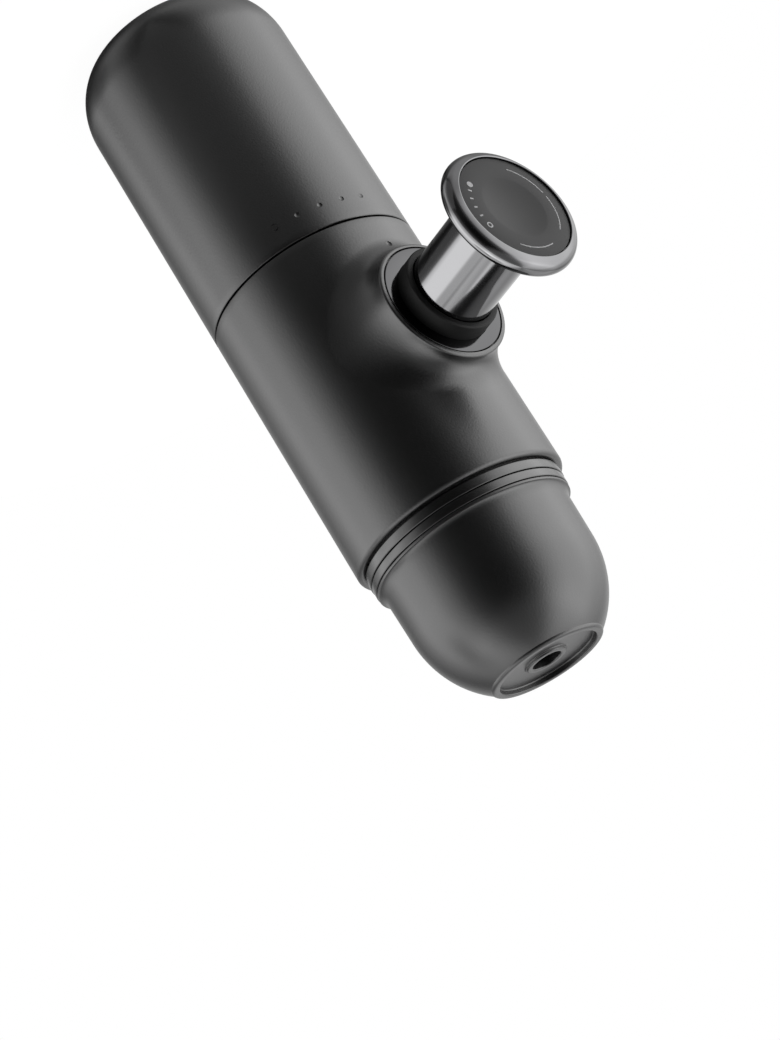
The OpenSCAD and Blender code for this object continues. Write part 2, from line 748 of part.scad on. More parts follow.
module group_gasket() {
    color(rubber) ring(basket_rim_r, gasket_in_r, gasket_z, basket_z);
}

module filter_basket() {
    inner_r = basket_r - basket_wall;
    color(steel) rotate_extrude() polygon([
        [inner_r, basket_z], [basket_rim_r, basket_z], [basket_rim_r, basket_z + basket_rim_t],
        [basket_r, basket_z + basket_rim_t], [basket_r, basket_end_z],
        [inner_r - basket_ledge, basket_end_z], [inner_r - basket_ledge, basket_end_z - screen_t],
        [inner_r, basket_end_z - screen_t]]);
}

module basket_screen() {
    color(steel) translate([0, 0, basket_end_z - 2 * screen_t]) difference() {
        cylinder(r = basket_r - basket_wall - fit_gap, h = screen_t);
        screen_holes(1, screen_rings);
        translate([0, 0, -1]) cylinder(r = screen_hole_r, h = screen_t + 2, $fn = 16);
    }
}

// ---------------------------------------------------------------- outlet head

module neck_ring() {
    color(black) soft_ring(neck_ring_r, neck_r + fit_gap, lip_z, lip_z + neck_ring_h, ring_round);
}

module outlet_head() {
    inner_a = dome_a - head_wall;
    inner_b = dome_b - head_wall;
    inner_end_t = asin((end_in_z - dome_z) / inner_b);
    soft = rim_soft();
    color(black) rotate_extrude() polygon(concat(
        [[head_thread_r, head_top_z], [head_sleeve_r, head_top_z], [head_sleeve_r, bead_z],
         [bead_r - bead_round, bead_z]],
        arc(bead_r - bead_round, bead_z + bead_round, bead_round, bead_round, -90, 0, 4),
        arc(bead_r, bead_z + bead_h, bead_r - head_r, bead_h - 2 * bead_round, 270, 180, 6),
        arc(0, dome_z, dome_a, dome_b, 0, dome_end_t, 20),
        arc(outlet_rim_r - soft, head_end_z - soft, soft, soft, 20, 110, 5),
        [[recess_r + 0.5, head_end_z - 0.4], [recess_r, recess_z],
         [spout_r + fit_gap, recess_z], [spout_r + fit_gap, end_in_z]],
        arc(0, dome_z, inner_a, inner_b, inner_end_t, 0, 16),
        [[inner_a, funnel_flange_z], [head_thread_r, funnel_flange_z]]));
}

// Inner piece: presses the basket home and leads the coffee to the spout.
module head_funnel() {
    flange_r2 = head_thread_r - fit_gap;
    cone_wall = 1.6;
    tail_r = spout_bore_r + cone_wall;
    tail_z = spout_start_z - 4;
    groove_r = head_seal_r - head_seal_wire_r - groove_slack;
    groove_half = head_seal_wire_r + groove_slack;
    color(dark) rotate_extrude() polygon([
        [pusher_bore_r, pusher_z], [pusher_r, pusher_z],
        [pusher_r, head_seal_z - groove_half], [groove_r, head_seal_z - groove_half],
        [groove_r, head_seal_z + groove_half], [pusher_r, head_seal_z + groove_half],
        [pusher_r, funnel_z], [flange_r2, funnel_z], [flange_r2, funnel_flange_z],
        [pusher_bore_r + cone_wall, funnel_flange_z], [tail_r, tail_z], [tail_r, spout_start_z],
        [spout_bore_r, spout_start_z], [spout_bore_r, tail_z], [pusher_bore_r, funnel_flange_z]]);
}

module head_seal() {
    color(rubber) o_ring(head_seal_r, head_seal_wire_r, head_seal_z);
}

module head_collar() {
    color(black) soft_ring(collar_ring_r, head_sleeve_r + fit_gap, head_top_z, bead_z, ring_round);
}

module head_spout() {
    color(dark) rotate_extrude() polygon([
        [spout_bore_r, spout_start_z], [spout_r, spout_start_z], [spout_r, recess_z],
        [spout_r + spout_lip, recess_z], [spout_r, spout_end_z - 0.2],
        [spout_r - 0.3, spout_end_z], [spout_bore_r + 0.3, spout_end_z],
        [spout_bore_r, spout_end_z - 0.3]]);
}

// ---------------------------------------------------------------- assembly

tank_shell();
tank_liner();
tank_seal();
body_shell();
tank_spigot();
vent_valve();
chassis();
group_head();
neck_ring();
boss_bezel();
guide_collar();
pump_cylinder();
cylinder_gland();
return_spring();
piston_rod();
piston_head();
piston_seal();
knob_screw();
knob_sleeve();
knob_flange();
knob_rim();
knob_inlay();
inlet_valve_body();
inlet_seat();
inlet_ball();
inlet_spring();
outlet_valve_body();
outlet_seat();
outlet_ball();
outlet_spring();
shower_screen();
shower_screw();
group_gasket();
filter_basket();
basket_screen();
outlet_head();
head_funnel();
head_seal();
head_collar();
head_spout();
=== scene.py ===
import json
import math

import bpy
from bpy.props import FloatProperty, FloatVectorProperty, IntProperty, PointerProperty
from mathutils import Matrix, Vector


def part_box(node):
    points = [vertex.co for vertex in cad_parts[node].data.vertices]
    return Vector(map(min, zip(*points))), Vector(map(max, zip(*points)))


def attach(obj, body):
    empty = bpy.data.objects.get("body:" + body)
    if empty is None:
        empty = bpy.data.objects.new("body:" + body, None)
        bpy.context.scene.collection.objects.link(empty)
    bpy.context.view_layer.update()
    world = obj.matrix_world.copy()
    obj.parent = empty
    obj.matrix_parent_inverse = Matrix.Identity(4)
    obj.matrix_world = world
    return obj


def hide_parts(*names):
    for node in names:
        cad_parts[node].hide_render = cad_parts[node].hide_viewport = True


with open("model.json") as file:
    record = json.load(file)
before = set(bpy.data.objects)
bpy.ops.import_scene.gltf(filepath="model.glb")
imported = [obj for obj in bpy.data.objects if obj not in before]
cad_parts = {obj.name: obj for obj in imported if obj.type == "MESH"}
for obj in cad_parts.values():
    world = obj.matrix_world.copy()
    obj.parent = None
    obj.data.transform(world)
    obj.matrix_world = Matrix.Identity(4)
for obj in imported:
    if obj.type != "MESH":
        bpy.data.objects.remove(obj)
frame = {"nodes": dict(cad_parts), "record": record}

bl_info = {
    "name": "Handheld Espresso Maker",
    "version": (1, 0, 0),
    "blender": (4, 5, 0),
    "location": "3D View > Sidebar > Espresso",
    "description": "Skins, finishes and stage for a one-hand pump espresso maker",
    "category": "Add Mesh",
}

MM = 0.001
FULL_TURN = 2 * math.pi
FIT = 0.1 * MM              # clearance between pieces that seat in each other
ROW_STEP = 1.8 * MM         # longest facet up a straight side
INK = 0.07 * MM             # thickness of a printed mark
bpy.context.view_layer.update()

# Places and radii that come from the frame.
TANK_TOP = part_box("tank_shell")[1]
BODY_R = TANK_TOP.x
SEAM_Z = TANK_TOP.z
CASING_LOW, CASING_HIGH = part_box("body_shell")
BEZEL_LOW, BEZEL_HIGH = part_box("boss_bezel")
COLLAR_LOW, COLLAR_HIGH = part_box("guide_collar")
SLEEVE_LOW, SLEEVE_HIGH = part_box("knob_sleeve")
FLANGE_LOW, FLANGE_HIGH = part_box("knob_flange")
RIM_LOW, RIM_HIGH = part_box("knob_rim")
INLAY_LOW, INLAY_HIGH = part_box("knob_inlay")
SPRING_LOW, SPRING_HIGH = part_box("return_spring")
NECK_LOW, NECK_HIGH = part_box("neck_ring")
RING_LOW, RING_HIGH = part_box("head_collar")
HEAD_LOW, HEAD_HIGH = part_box("outlet_head")
SPOUT_LOW, SPOUT_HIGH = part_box("head_spout")
GROUP_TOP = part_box("group_head")[1]
PUMP_Z = (BEZEL_LOW.z + BEZEL_HIGH.z) / 2
PUMP_CENTRE = Vector((0, 0, PUMP_Z))
BEZEL_H = -BEZEL_LOW.y


# ---- sizes and colours

def size(name, description, default_mm):
    return FloatProperty(name=name, description=description, default=default_mm * MM,
                         subtype="DISTANCE", unit="LENGTH", precision=5)


def colour(name, description, value):
    return FloatVectorProperty(name=name, description=description, default=value, size=3,
                               min=0, max=1, subtype="COLOR")


def power(name, description, value):
    return FloatProperty(name=name, description=description, default=value, min=0,
                         unit="POWER", precision=4)


def count(name, description, value):
    return IntProperty(name=name, description=description, default=value, min=1)


def share(name, description, value):
    return FloatProperty(name=name, description=description, default=value, min=0, max=1,
                         subtype="FACTOR")


class CasingSizes(bpy.types.PropertyGroup):
    """Sizes of the tank and the body casing."""
    corner_w: size("Corner width", "Width over which the tank's corner rounds", 12.2)
    corner_h: size("Corner height", "Height over which the tank's corner rounds", 16.6)
    wall: size("Wall", "Wall of the tank and the casing", 2.0)
    casing_wall: size("Casing wall", "Wall of the body casing", 2.2)
    seam_edge: size("Seam edge", "Rounding of the two edges at the seam", 0.35)
    lip_round: size("Lip", "Rounding of the casing's lip at the outlet end", 1.3)
    boss_rim: size("Boss rim", "Width of the boss's rim around the bezel", 1.15)
    boss_round: size("Boss rounding", "Rounding of the boss's rim", 0.7)
    bezel_gap: size("Bezel gap", "Gap between the bezel and the boss's rim", 0.38)
    blend_w: size("Blend", "Width of the hollow blend between boss and casing", 7.4)
    blend_sink: size("Blend sink", "How far the blend's edge dips under the casing's side", 0.02)
    mark_r: size("Mark radius", "Radius of an index mark", 0.75)
    mark_depth: size("Mark depth", "Depth of an index mark", 0.24)
    mark_line: size("Mark line", "Half the width of the open mark's line", 0.22)
    mark_inset: size("Mark place", "From the seam to the tank's index marks", 6.4)
    body_mark: size("Body mark place", "From the seam to the body's index mark", 9.2)


class KnobSizes(bpy.types.PropertyGroup):
    """Sizes of the pump's knob, collar and bezel."""
    tube_r: size("Tube radius", "Outer radius of the knob's tube", 11.22)
    tube_wall: size("Tube wall", "Wall of the knob's tube", 1.1)
    stop_t: size("Stop flange", "Thickness of the stop flange at the tube's inner end", 2.0)
    collar_r: size("Collar radius", "Outer radius of the guide collar", 13.1)
    collar_bore_r: size("Collar bore", "Radius of the guide collar's bore", 11.3)
    flange_neck: size("Flange neck", "How far the flange's neck stands out of the tube", 0.55)
    rim_wall: size("Rim width", "Width of the rim around the inlay", 3.0)
    inlay_gap: size("Inlay gap", "Gap between the inlay and the rim", 0.16)
    lip_round: size("Rim lip", "Rounding of the rim's edge at the inlay", 0.24)
    rim_round: size("Rim rounding", "Rounding from the knob's side over to its end", 3.05)
    side_drop: size("Knob side", "From the rim's lower edge down to the knob's widest place", 0.95)
    inlay_rise: size("Inlay rise", "How far the inlay is set up towards the rim's edge", 0.28)
    dish_r: size("Dish radius", "Radius of the dished middle of the inlay", 9.4)
    dish_depth: size("Dish depth", "Depth of the dish", 0.8)
    mark_r: size("Mark ring", "Radius of the ring on which the inlay's marks lie", 12.7)
    dot_r: size("Mark radius", "Radius of the dot and the open circle", 0.85)
    circle_hole_r: size("Circle hole", "Inner radius of the open circle", 0.5)
    tick_len: size("Tick length", "Length of the ticks between dot and circle", 1.0)
    line_w: size("Mark line", "Width of the long arcs' line", 0.28)


class HeadSizes(bpy.types.PropertyGroup):
    """Sizes of the outlet head, its rings and its spout."""
    ring_bore_r: size("Ring bore", "Inner radius of the neck ring", 24.5)
    collar_bore_r: size("Collar ring bore", "Inner radius of the head's collar ring", 26.4)
    ring_round: size("Ring rounding", "Rounding of the outer edges of both rings", 0.28)
    ring_line: size("Ring line", "Open line between the two rings", 0.16)
    groove_w: size("Groove width", "Width of the groove under the casing's lip", 0.5)
    groove_depth: size("Groove depth", "Depth of the groove under the casing's lip", 0.9)
    side_r: size("Side radius", "Radius of the head below its bead", 26.65)
    taper: size("Taper", "How much slimmer the head gets before its dome", 0.25)
    bead_h: size("Bead height", "Height over which the bead runs out", 3.8)
    bead_round: size("Bead rounding", "Rounding of the bead's edge", 0.45)
    dome_h: size("Dome height", "Axial half axis of the head's elliptical end", 27.9)
    rim_r: size("Rim radius", "Radius of the rim around the outlet", 16.1)
    rim_round: size("Rim rounding", "Rounding of the rim around the outlet", 0.9)
    recess_r: size("Recess radius", "Radius of the outlet recess", 13.9)
    recess_depth: size("Recess depth", "Depth of the outlet recess", 1.6)
    bore_r: size("Head bore", "Radius of the head's threaded bore", 24.8)
    wall: size("Head wall", "Wall of the head", 1.75)
    spout_bore_r: size("Spout bore", "Radius of the spout's bore", 4.0)
    spout_r: size("Spout radius", "Radius of the spout's raised ring", 5.6)


class InnerSizes(bpy.types.PropertyGroup):
    """Sizes of the screw threads and the return spring."""
    pitch: size("Thread pitch", "Rise of a thread in one turn", 4.0)
    crest: size("Thread crest", "Height of a thread's ridge", 0.32)
    ridge_w: size("Ridge width", "Width of a thread's ridge at its foot", 1.24)
    spigot_r: size("Spigot radius", "Radius of the spigot under its thread", 25.6)
    neck_r: size("Neck radius", "Radius of the neck under its thread", 24.4)
    wire_d: size("Spring wire", "Diameter of the return spring's wire", 1.1)
    turns: count("Spring turns", "Turns of the return spring", 21)
    fixed_turns: count("Fixed turns", "Turns that stay with the pump body", 10)


class Finishes(bpy.types.PropertyGroup):
    """Colours of the visible finishes."""
    casing: colour("Casing", "Soft-touch plastic of tank and body", (0.0042, 0.0042, 0.0043))
    head: colour("Head", "Satin plastic of the outlet head", (0.005, 0.005, 0.0052))
    collar: colour("Guide collar", "Matte plastic of the guide collar", (0.003, 0.003, 0.003))
    bezel: colour("Bezel", "Dark satin metal of the bezel", (0.036, 0.036, 0.037))
    tube: colour("Tube", "Dark polished chrome", (0.135, 0.135, 0.138))
    rim: colour("Rim", "Satin turned metal of the knob's rim", (0.09, 0.09, 0.092))
    inlay: colour("Inlay", "Matte plastic of the dished inlay", (0.009, 0.009, 0.0093))
    mark: colour("Marks", "Printed marks on the inlay", (0.75, 0.75, 0.76))
    steel: colour("Steel", "Plain stainless steel", (0.55, 0.55, 0.56))
    dark: colour("Dark plastic", "Moulded plastic of the inner pieces", (0.03, 0.03, 0.031))
    inner: colour("Grey plastic", "Plastic of the frame and inner tank", (0.12, 0.12, 0.125))
    seal: colour("Seal", "Moulded seal rubber", (0.018, 0.018, 0.018))
    grain: share("Grain", "Strength of the casing's fine grain", 0.6)


class StageSettings(bpy.types.PropertyGroup):
    """Light, floor and camera."""
    floor_r: size("Floor radius", "Radius of the round floor", 230)
    plain_light: share("Plain light", "Even light on every surface", 0.3)
    key_w: size("Key lamp size", "Width and height of the soft key lamp", 500)
    key_power: power("Key lamp", "Power of the key lamp, which gloss doesn't show", 1.2)
    card_w: size("Front card size", "Width and height of the card in front", 140)
    card_reach: size("Front card place", "From the maker's axis to the card in front", 130)
    card_power: power("Front card", "Power of the card, which gloss shows", 0.022)


# ---- modelling helpers

def deselect():
    if bpy.context.object and bpy.context.object.mode != "OBJECT":
        bpy.ops.object.mode_set(mode="OBJECT")
    bpy.ops.object.select_all(action="DESELECT")


def only(piece):
    deselect()
    piece.select_set(True)
    bpy.context.view_layer.objects.active = piece


def arc(centre, radii, start, end, steps):
    """Points of an elliptical arc, its angles in degrees."""
    turns = [math.radians(start + (end - start) * i / steps) for i in range(steps + 1)]
    return [(centre[0] + radii[0] * math.cos(t), centre[1] + radii[1] * math.sin(t))
            for t in turns]


def rows(r, z0, z1):
    """Points up a straight side, so that its facets stay short."""
    parts = max(1, round((z1 - z0) / ROW_STEP))
    return [(r, z0 + (z1 - z0) * i / parts) for i in range(1, parts)]


def ring_outline(r_out, r_in, z0, z1, soft):
    """Outline of a ring with rounded outer edges."""
    outline = [(r_in, z0)]
    outline += arc((r_out - soft, z0 + soft), (soft, soft), -90, 0, 6)
    outline += arc((r_out - soft, z1 - soft), (soft, soft), 0, 90, 6)
    outline += [(r_in, z1)]
    return outline


def along_maker(r, z):
    """A point of an outline that is spun about the maker's axis."""
    return Vector((r, 0, z))


def along_pump(r, h):
    """A point of an outline that is spun about the pump's axis, h from the maker's axis."""
    return Vector((0, -h, PUMP_Z + r))


def draw(name, points, closed):
    """Draws an outline by extruding one corner after another."""
    deselect()
    bpy.ops.mesh.primitive_plane_add(size=MM, location=points[0])
    piece = bpy.context.object
    piece.name = name
    bpy.ops.object.transform_apply(location=True, rotation=False, scale=False)
    bpy.ops.object.mode_set(mode="EDIT")
    bpy.ops.mesh.select_mode(type="VERT")
    bpy.ops.mesh.select_all(action="SELECT")
    bpy.ops.mesh.merge(type="CENTER")
    for here, there in zip(points, points[1:]):
        bpy.ops.mesh.extrude_region_move(TRANSFORM_OT_translate={"value": there - here})
    if closed:
        bpy.ops.object.mode_set(mode="OBJECT")
        piece.data.vertices[0].select = True
        bpy.ops.object.mode_set(mode="EDIT")
        bpy.ops.mesh.edge_face_add()
    return piece


def weld(gap):
    """Joins the seams of the mesh in edit mode, turns its faces outwards and leaves edit mode."""
    bpy.ops.mesh.select_all(action="SELECT")
    bpy.ops.mesh.remove_doubles(threshold=gap)
    bpy.ops.mesh.normals_make_consistent(inside=False)
    bpy.ops.object.mode_set(mode="OBJECT")


def spin(name, outline, place=along_maker, steps=192, closed=True):
    """A solid of revolution. An open outline starts and ends on the axis."""
    points = [place(r, h) for r, h in outline]
    piece = draw(name, points, closed)
    axis = (0, 0, 1) if place is along_maker else (0, 1, 0)
    centre = (0, 0, 0) if place is along_maker else PUMP_CENTRE
    bpy.ops.mesh.select_all(action="SELECT")
    bpy.ops.mesh.spin(steps=steps, angle=FULL_TURN, center=centre, axis=axis)
    weld(0.002 * MM)
    return piece


def modify(piece, kind, **settings):
    """Adds a modifier with its settings and applies it."""
    only(piece)
    bpy.ops.object.modifier_add(type=kind)
    modifier = piece.modifiers[-1]
    for key, value in settings.items():
        setattr(modifier, key, value)
    bpy.ops.object.modifier_apply(modifier=modifier.name)


def cut(piece, tool, operation="DIFFERENCE"):
    """Joins a tool solid to the piece or cuts it away, and deletes the tool."""
    modify(piece, "BOOLEAN", operation=operation, solver="EXACT", object=tool)
    only(tool)
    bpy.ops.object.delete()


def wind(piece, axis, turns, pitch, steps):
    """Winds an outline up about an axis through the origin and closes both ends."""
    modify(piece, "SCREW", axis=axis, angle=FULL_TURN * turns, screw_offset=pitch * turns,
           steps=steps, render_steps=steps)
    bpy.ops.object.mode_set(mode="EDIT")
    bpy.ops.mesh.select_all(action="SELECT")
    bpy.ops.mesh.fill_holes(sides=12)
    bpy.ops.mesh.normals_make_consistent(inside=False)
    bpy.ops.object.mode_set(mode="OBJECT")


def finish(piece, look, body, slot, *nodes, angle=30):
    """Gives a piece smooth shading, its finish and its body, and hides the frame's nodes that it
    stands for.
    """
    if angle:
        only(piece)
        bpy.ops.object.shade_smooth_by_angle(angle=math.radians(angle))
    piece.data.materials.clear()
    piece.data.materials.append(finish_table()[look])
    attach(piece, body)
    if nodes:
        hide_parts(*nodes)
    return piece


def join(name, pieces):
    only(pieces[0])
    for piece in pieces:
        piece.select_set(True)
    bpy.ops.object.join()
    pieces[0].name = name
    return pieces[0]


# ---- materials

class Tree:
    """A node tree with short ways to add and link nodes."""

    def __init__(self, tree):
        self.tree = tree

    def add(self, kind, **settings):
        node = self.tree.nodes.new(kind)
        for key, value in settings.items():
            if hasattr(node, key):
                setattr(node, key, value)
            else:
                node.inputs[key.replace("_", " ").title()].default_value = value
        return node

    def link(self, source, target):
        """Feeds a socket with a number or with another node's output."""
        if isinstance(source, (int, float)):
            target.default_value = source
        else:
            self.tree.links.new(source, target)

    def math(self, operation, first, second=0.0):
        node = self.add("ShaderNodeMath", operation=operation)
        self.link(first, node.inputs[0])
        self.link(second, node.inputs[1])
        return node.outputs["Value"]


class Nodes(Tree):
    """The node tree of a new material."""

    def __init__(self, name):
        self.material = bpy.data.materials.new(name)
        self.material.use_nodes = True
        super().__init__(self.material.node_tree)
        self.shader = self.tree.nodes["Principled BSDF"]
        self.place = self.add("ShaderNodeTexCoord").outputs["Object"]

    def moved(self, location):
        node = self.add("ShaderNodeMapping")
        node.inputs["Location"].default_value = location
        self.link(self.place, node.inputs["Vector"])
        return node.outputs["Vector"]

    def noise(self, scale, detail=2.0, vector=None):
        node = self.add("ShaderNodeTexNoise", scale=scale, detail=detail)
        self.link(vector or self.place, node.inputs["Vector"])
        return node.outputs["Fac"]

    def spread(self, value, low, high):
        node = self.add("ShaderNodeMapRange")
        node.inputs["To Min"].default_value = low
        node.inputs["To Max"].default_value = high
        self.link(value, node.inputs["Value"])
        return node.outputs["Result"]

    def tint(self, value, base, vary):
        """Base colour that varies a little, by a share of itself, with a 0 to 1 value."""
        node = self.add("ShaderNodeMix", data_type="RGBA")
        colours = [socket for socket in node.inputs if socket.type == "RGBA"]
        colours[0].default_value = [c * (1 - vary) for c in base] + [1]
        colours[1].default_value = [c * (1 + vary) for c in base] + [1]
        self.link(value, node.inputs[0])
        output = [socket for socket in node.outputs if socket.type == "RGBA"][0]
        self.link(output, self.shader.inputs["Base Color"])

    def bump(self, height, distance, strength=1.0):
        node = self.add("ShaderNodeBump", distance=distance, strength=strength)
        self.link(height, node.inputs["Height"])
        self.link(node.outputs["Normal"], self.shader.inputs["Normal"])

    def rough(self, value):
        self.link(value, self.shader.inputs["Roughness"])


def satin_plastic(name, base, rough_low, rough_high, grain, grain_scale=2000, specular=0.5):
    """Moulded plastic with a fine spark-eroded grain and slight changes of sheen."""
    nodes = Nodes(name)
    fine = nodes.noise(grain_scale, 2.5)
    broad = nodes.noise(45, 3.0)
    nodes.tint(broad, base, 0.08)
    sheen = nodes.math("ADD", nodes.math("MULTIPLY", fine, 0.4),
                       nodes.math("MULTIPLY", broad, 0.6))
    nodes.rough(nodes.spread(sheen, rough_low, rough_high))
    nodes.bump(fine, 0.05 * MM, grain)
    nodes.shader.inputs["Specular IOR Level"].default_value = specular
    return nodes.material


def turned_metal(name, base, rough, across_axis, lines):
    """Metal turned on a lathe: fine rings about the given axis and faint smudges."""
    nodes = Nodes(name)
    axis_scale, centre = across_axis
    across = nodes.add("ShaderNodeVectorMath", operation="MULTIPLY")
    nodes.link(nodes.moved(centre), across.inputs[0])
    across.inputs[1].default_value = axis_scale
    length = nodes.add("ShaderNodeVectorMath", operation="LENGTH")
    nodes.link(across.outputs["Vector"], length.inputs[0])
    split = nodes.add("ShaderNodeSeparateXYZ")
    nodes.link(nodes.place, split.inputs["Vector"])
    along = nodes.math("ADD", length.outputs["Value"], split.outputs["Y"])
    vector = nodes.add("ShaderNodeCombineXYZ")
    nodes.link(along, vector.inputs["X"])
    rings = nodes.noise(lines, 3.0, vector.outputs["Vector"])
    smudge = nodes.noise(90, 3.0)
    nodes.tint(rings, base, 0.06)
    sheen = nodes.math("ADD", nodes.math("MULTIPLY", rings, 0.5),
                       nodes.math("MULTIPLY", smudge, 0.5))
    nodes.rough(nodes.spread(sheen, rough * 0.8, rough * 1.2))
    nodes.bump(rings, 0.004 * MM, 1.0)
    nodes.shader.inputs["Metallic"].default_value = 1
    return nodes.material


def polished_metal(name, base, rough):
    """Polished metal with faint handling marks."""
    nodes = Nodes(name)
    smudge = nodes.noise(70, 4.0)
    nodes.tint(smudge, base, 0.04)
    nodes.rough(nodes.spread(smudge, rough * 0.75, rough * 1.25))
    nodes.bump(nodes.noise(900, 2.0), 0.002 * MM, 0.4)
    nodes.shader.inputs["Metallic"].default_value = 1
    return nodes.material


def rubber(name, base):
    """Moulded rubber, dull and slightly uneven."""
    nodes = Nodes(name)
    fine = nodes.noise(1800, 3.0)
    nodes.tint(nodes.noise(120, 2.0), base, 0.15)
    nodes.rough(nodes.spread(fine, 0.55, 0.75))
    nodes.bump(fine, 0.02 * MM, 0.4)
    return nodes.material


FINISHED_LOOKS = {}


def finish_table():
    """One material for each of the record's slots, made once."""
    if FINISHED_LOOKS:
        return FINISHED_LOOKS
    look = bpy.context.scene.maker_finishes
    across_pump = ((1, 0, 1), tuple(-PUMP_CENTRE))
    across_maker = ((1, 1, 0), (0, 0, 0))
    FINISHED_LOOKS.update({
        "casing": satin_plastic("soft_casing", look.casing, 0.28, 0.35, look.grain),
        "ring": satin_plastic("smooth_rings", look.casing, 0.19, 0.25, look.grain * 0.4),
        "head_plastic": satin_plastic("satin_head", look.head, 0.28, 0.35, look.grain * 0.8),
        "inner_plastic": satin_plastic("grey_plastic", look.inner, 0.35, 0.5, 0.3, 2200),
        "dark_plastic": satin_plastic("black_plastic", look.dark, 0.35, 0.5, 0.3, 2200),
        "collar_plastic": satin_plastic("matte_collar", look.collar, 0.5, 0.62, 0.3, 2600, 0.12),
        "inlay": satin_plastic("matte_inlay", look.inlay, 0.34, 0.42, 0.3, 3000, 0.1),
        "bezel_metal": polished_metal("grey_bezel", look.bezel, 0.1),
        "rim_metal": turned_metal("turned_rim", look.rim, 0.13, across_pump, 9000),
        "tube_metal": polished_metal("dark_chrome", look.tube, 0.1),
        "steel": turned_metal("plain_steel", look.steel, 0.3, across_maker, 4000),
        "seal": rubber("seal_rubber", look.seal),
        "print": satin_plastic("printed_marks", look.mark, 0.5, 0.6, 0.2, 2500, 0.12),
    })
    return FINISHED_LOOKS


# ---- pieces

# Turns of the tank's index marks, in degrees from the pump's side.
TANK_MARKS = (-2.3, 10.1, 22.6, 35.1)
OPEN_MARK = 47.6


def mark_tool(angle, z, radius, depth):
    """A small ball that leaves a round dimple in the casing's side. Angle from the pump's side."""
    ball_r = (radius ** 2 + depth ** 2) / (2 * depth)
    reach = BODY_R + ball_r - depth
    turn = math.radians(angle)
    deselect()
    bpy.ops.mesh.primitive_uv_sphere_add(
        segments=32, ring_count=24, radius=ball_r,
        location=(reach * math.sin(turn), -reach * math.cos(turn), z))
    return bpy.context.object


def ring_mark_tool(angle, z, radius, width):
    """A small ring that leaves an open circle in the casing's side."""
    turn = math.radians(angle)
    deselect()
    bpy.ops.mesh.primitive_torus_add(
        major_segments=40, minor_segments=12, major_radius=radius, minor_radius=width,
        location=(BODY_R * math.sin(turn), -BODY_R * math.cos(turn), z),
        rotation=(math.pi / 2, 0, turn))
    return bpy.context.object


class MAKER_OT_tank(bpy.types.Operator):
    """Model the tank's outer skin with its row of index marks."""
    bl_idname = "maker.tank"
    bl_label = "Tank"

    def execute(self, context):
        sizes = context.scene.maker_casing
        foot_r = BODY_R - sizes.corner_w
        inner_r = BODY_R - sizes.wall
        edge = sizes.seam_edge
        outline = [(0, 0)]
        outline += arc((foot_r, sizes.corner_h), (sizes.corner_w, sizes.corner_h), -90, 0, 28)
        outline += rows(BODY_R, sizes.corner_h, SEAM_Z - edge)
        outline += arc((BODY_R - edge, SEAM_Z - edge), (edge, edge), 0, 90, 5)
        outline += [(inner_r, SEAM_Z)]
        outline += arc((foot_r, sizes.corner_h), (sizes.corner_w - sizes.wall,
                                                  sizes.corner_h - sizes.wall), 0, -90, 12)
        outline += [(0, sizes.wall)]
        tank = spin("tank_skin", outline, steps=256, closed=False)
        mark_z = SEAM_Z - sizes.mark_inset
        for angle in TANK_MARKS:
            cut(tank, mark_tool(angle, mark_z, sizes.mark_r, sizes.mark_depth))
        cut(tank, ring_mark_tool(OPEN_MARK, mark_z, 1.15 * sizes.mark_r, sizes.mark_line))
        finish(tank, "casing", "tank", "casing", "tank_shell")
        return {"FINISHED"}


def boss_with_blend(sizes, boss_r):
    """The pump's boss, with a hollow blend that is laid onto the casing's round side."""
    top_h = BEZEL_H - MM            # where the blend starts before it is laid down
    root_h = 10 * MM                # the boss's hidden end, inside the casing's bore
    turns = [math.radians(90 * i / 28) for i in range(29)]
    blend = [(boss_r + sizes.blend_w * (1 - math.cos(t)), (1 - math.sin(t)) ** 1.15) for t in turns]
    soft = sizes.boss_round
    outline = [(0, root_h), (blend[-1][0], root_h)]
    outline += [(r, top_h) for r, _ in reversed(blend)]
    outline += arc((boss_r - soft, BEZEL_H - soft), (soft, soft), 0, 90, 8)
    outline += [(0, BEZEL_H)]
    boss = spin("boss", outline, along_pump, steps=144, closed=False)
    lay = boss.vertex_groups.new(name="lay")
    for vertex in boss.data.vertices:
        side = math.hypot(vertex.co.x, vertex.co.z - PUMP_Z)
        if abs(-vertex.co.y - top_h) < 0.01 * MM and side > boss_r + 0.001 * MM:
            height = min(blend, key=lambda ring: abs(ring[0] - side))[1]
            lay.add([vertex.index], 1 - height, "REPLACE")
    deselect()
    bpy.ops.mesh.primitive_cylinder_add(vertices=720, radius=BODY_R - sizes.blend_sink,
                                        depth=2 * BODY_R, location=PUMP_CENTRE)
    target = bpy.context.object
    modify(boss, "SHRINKWRAP", target=target, wrap_method="PROJECT", use_project_x=False,
           use_project_y=True, use_project_z=False, use_negative_direction=False,
           use_positive_direction=True, vertex_group="lay")
    only(target)
    bpy.ops.object.delete()
    return boss


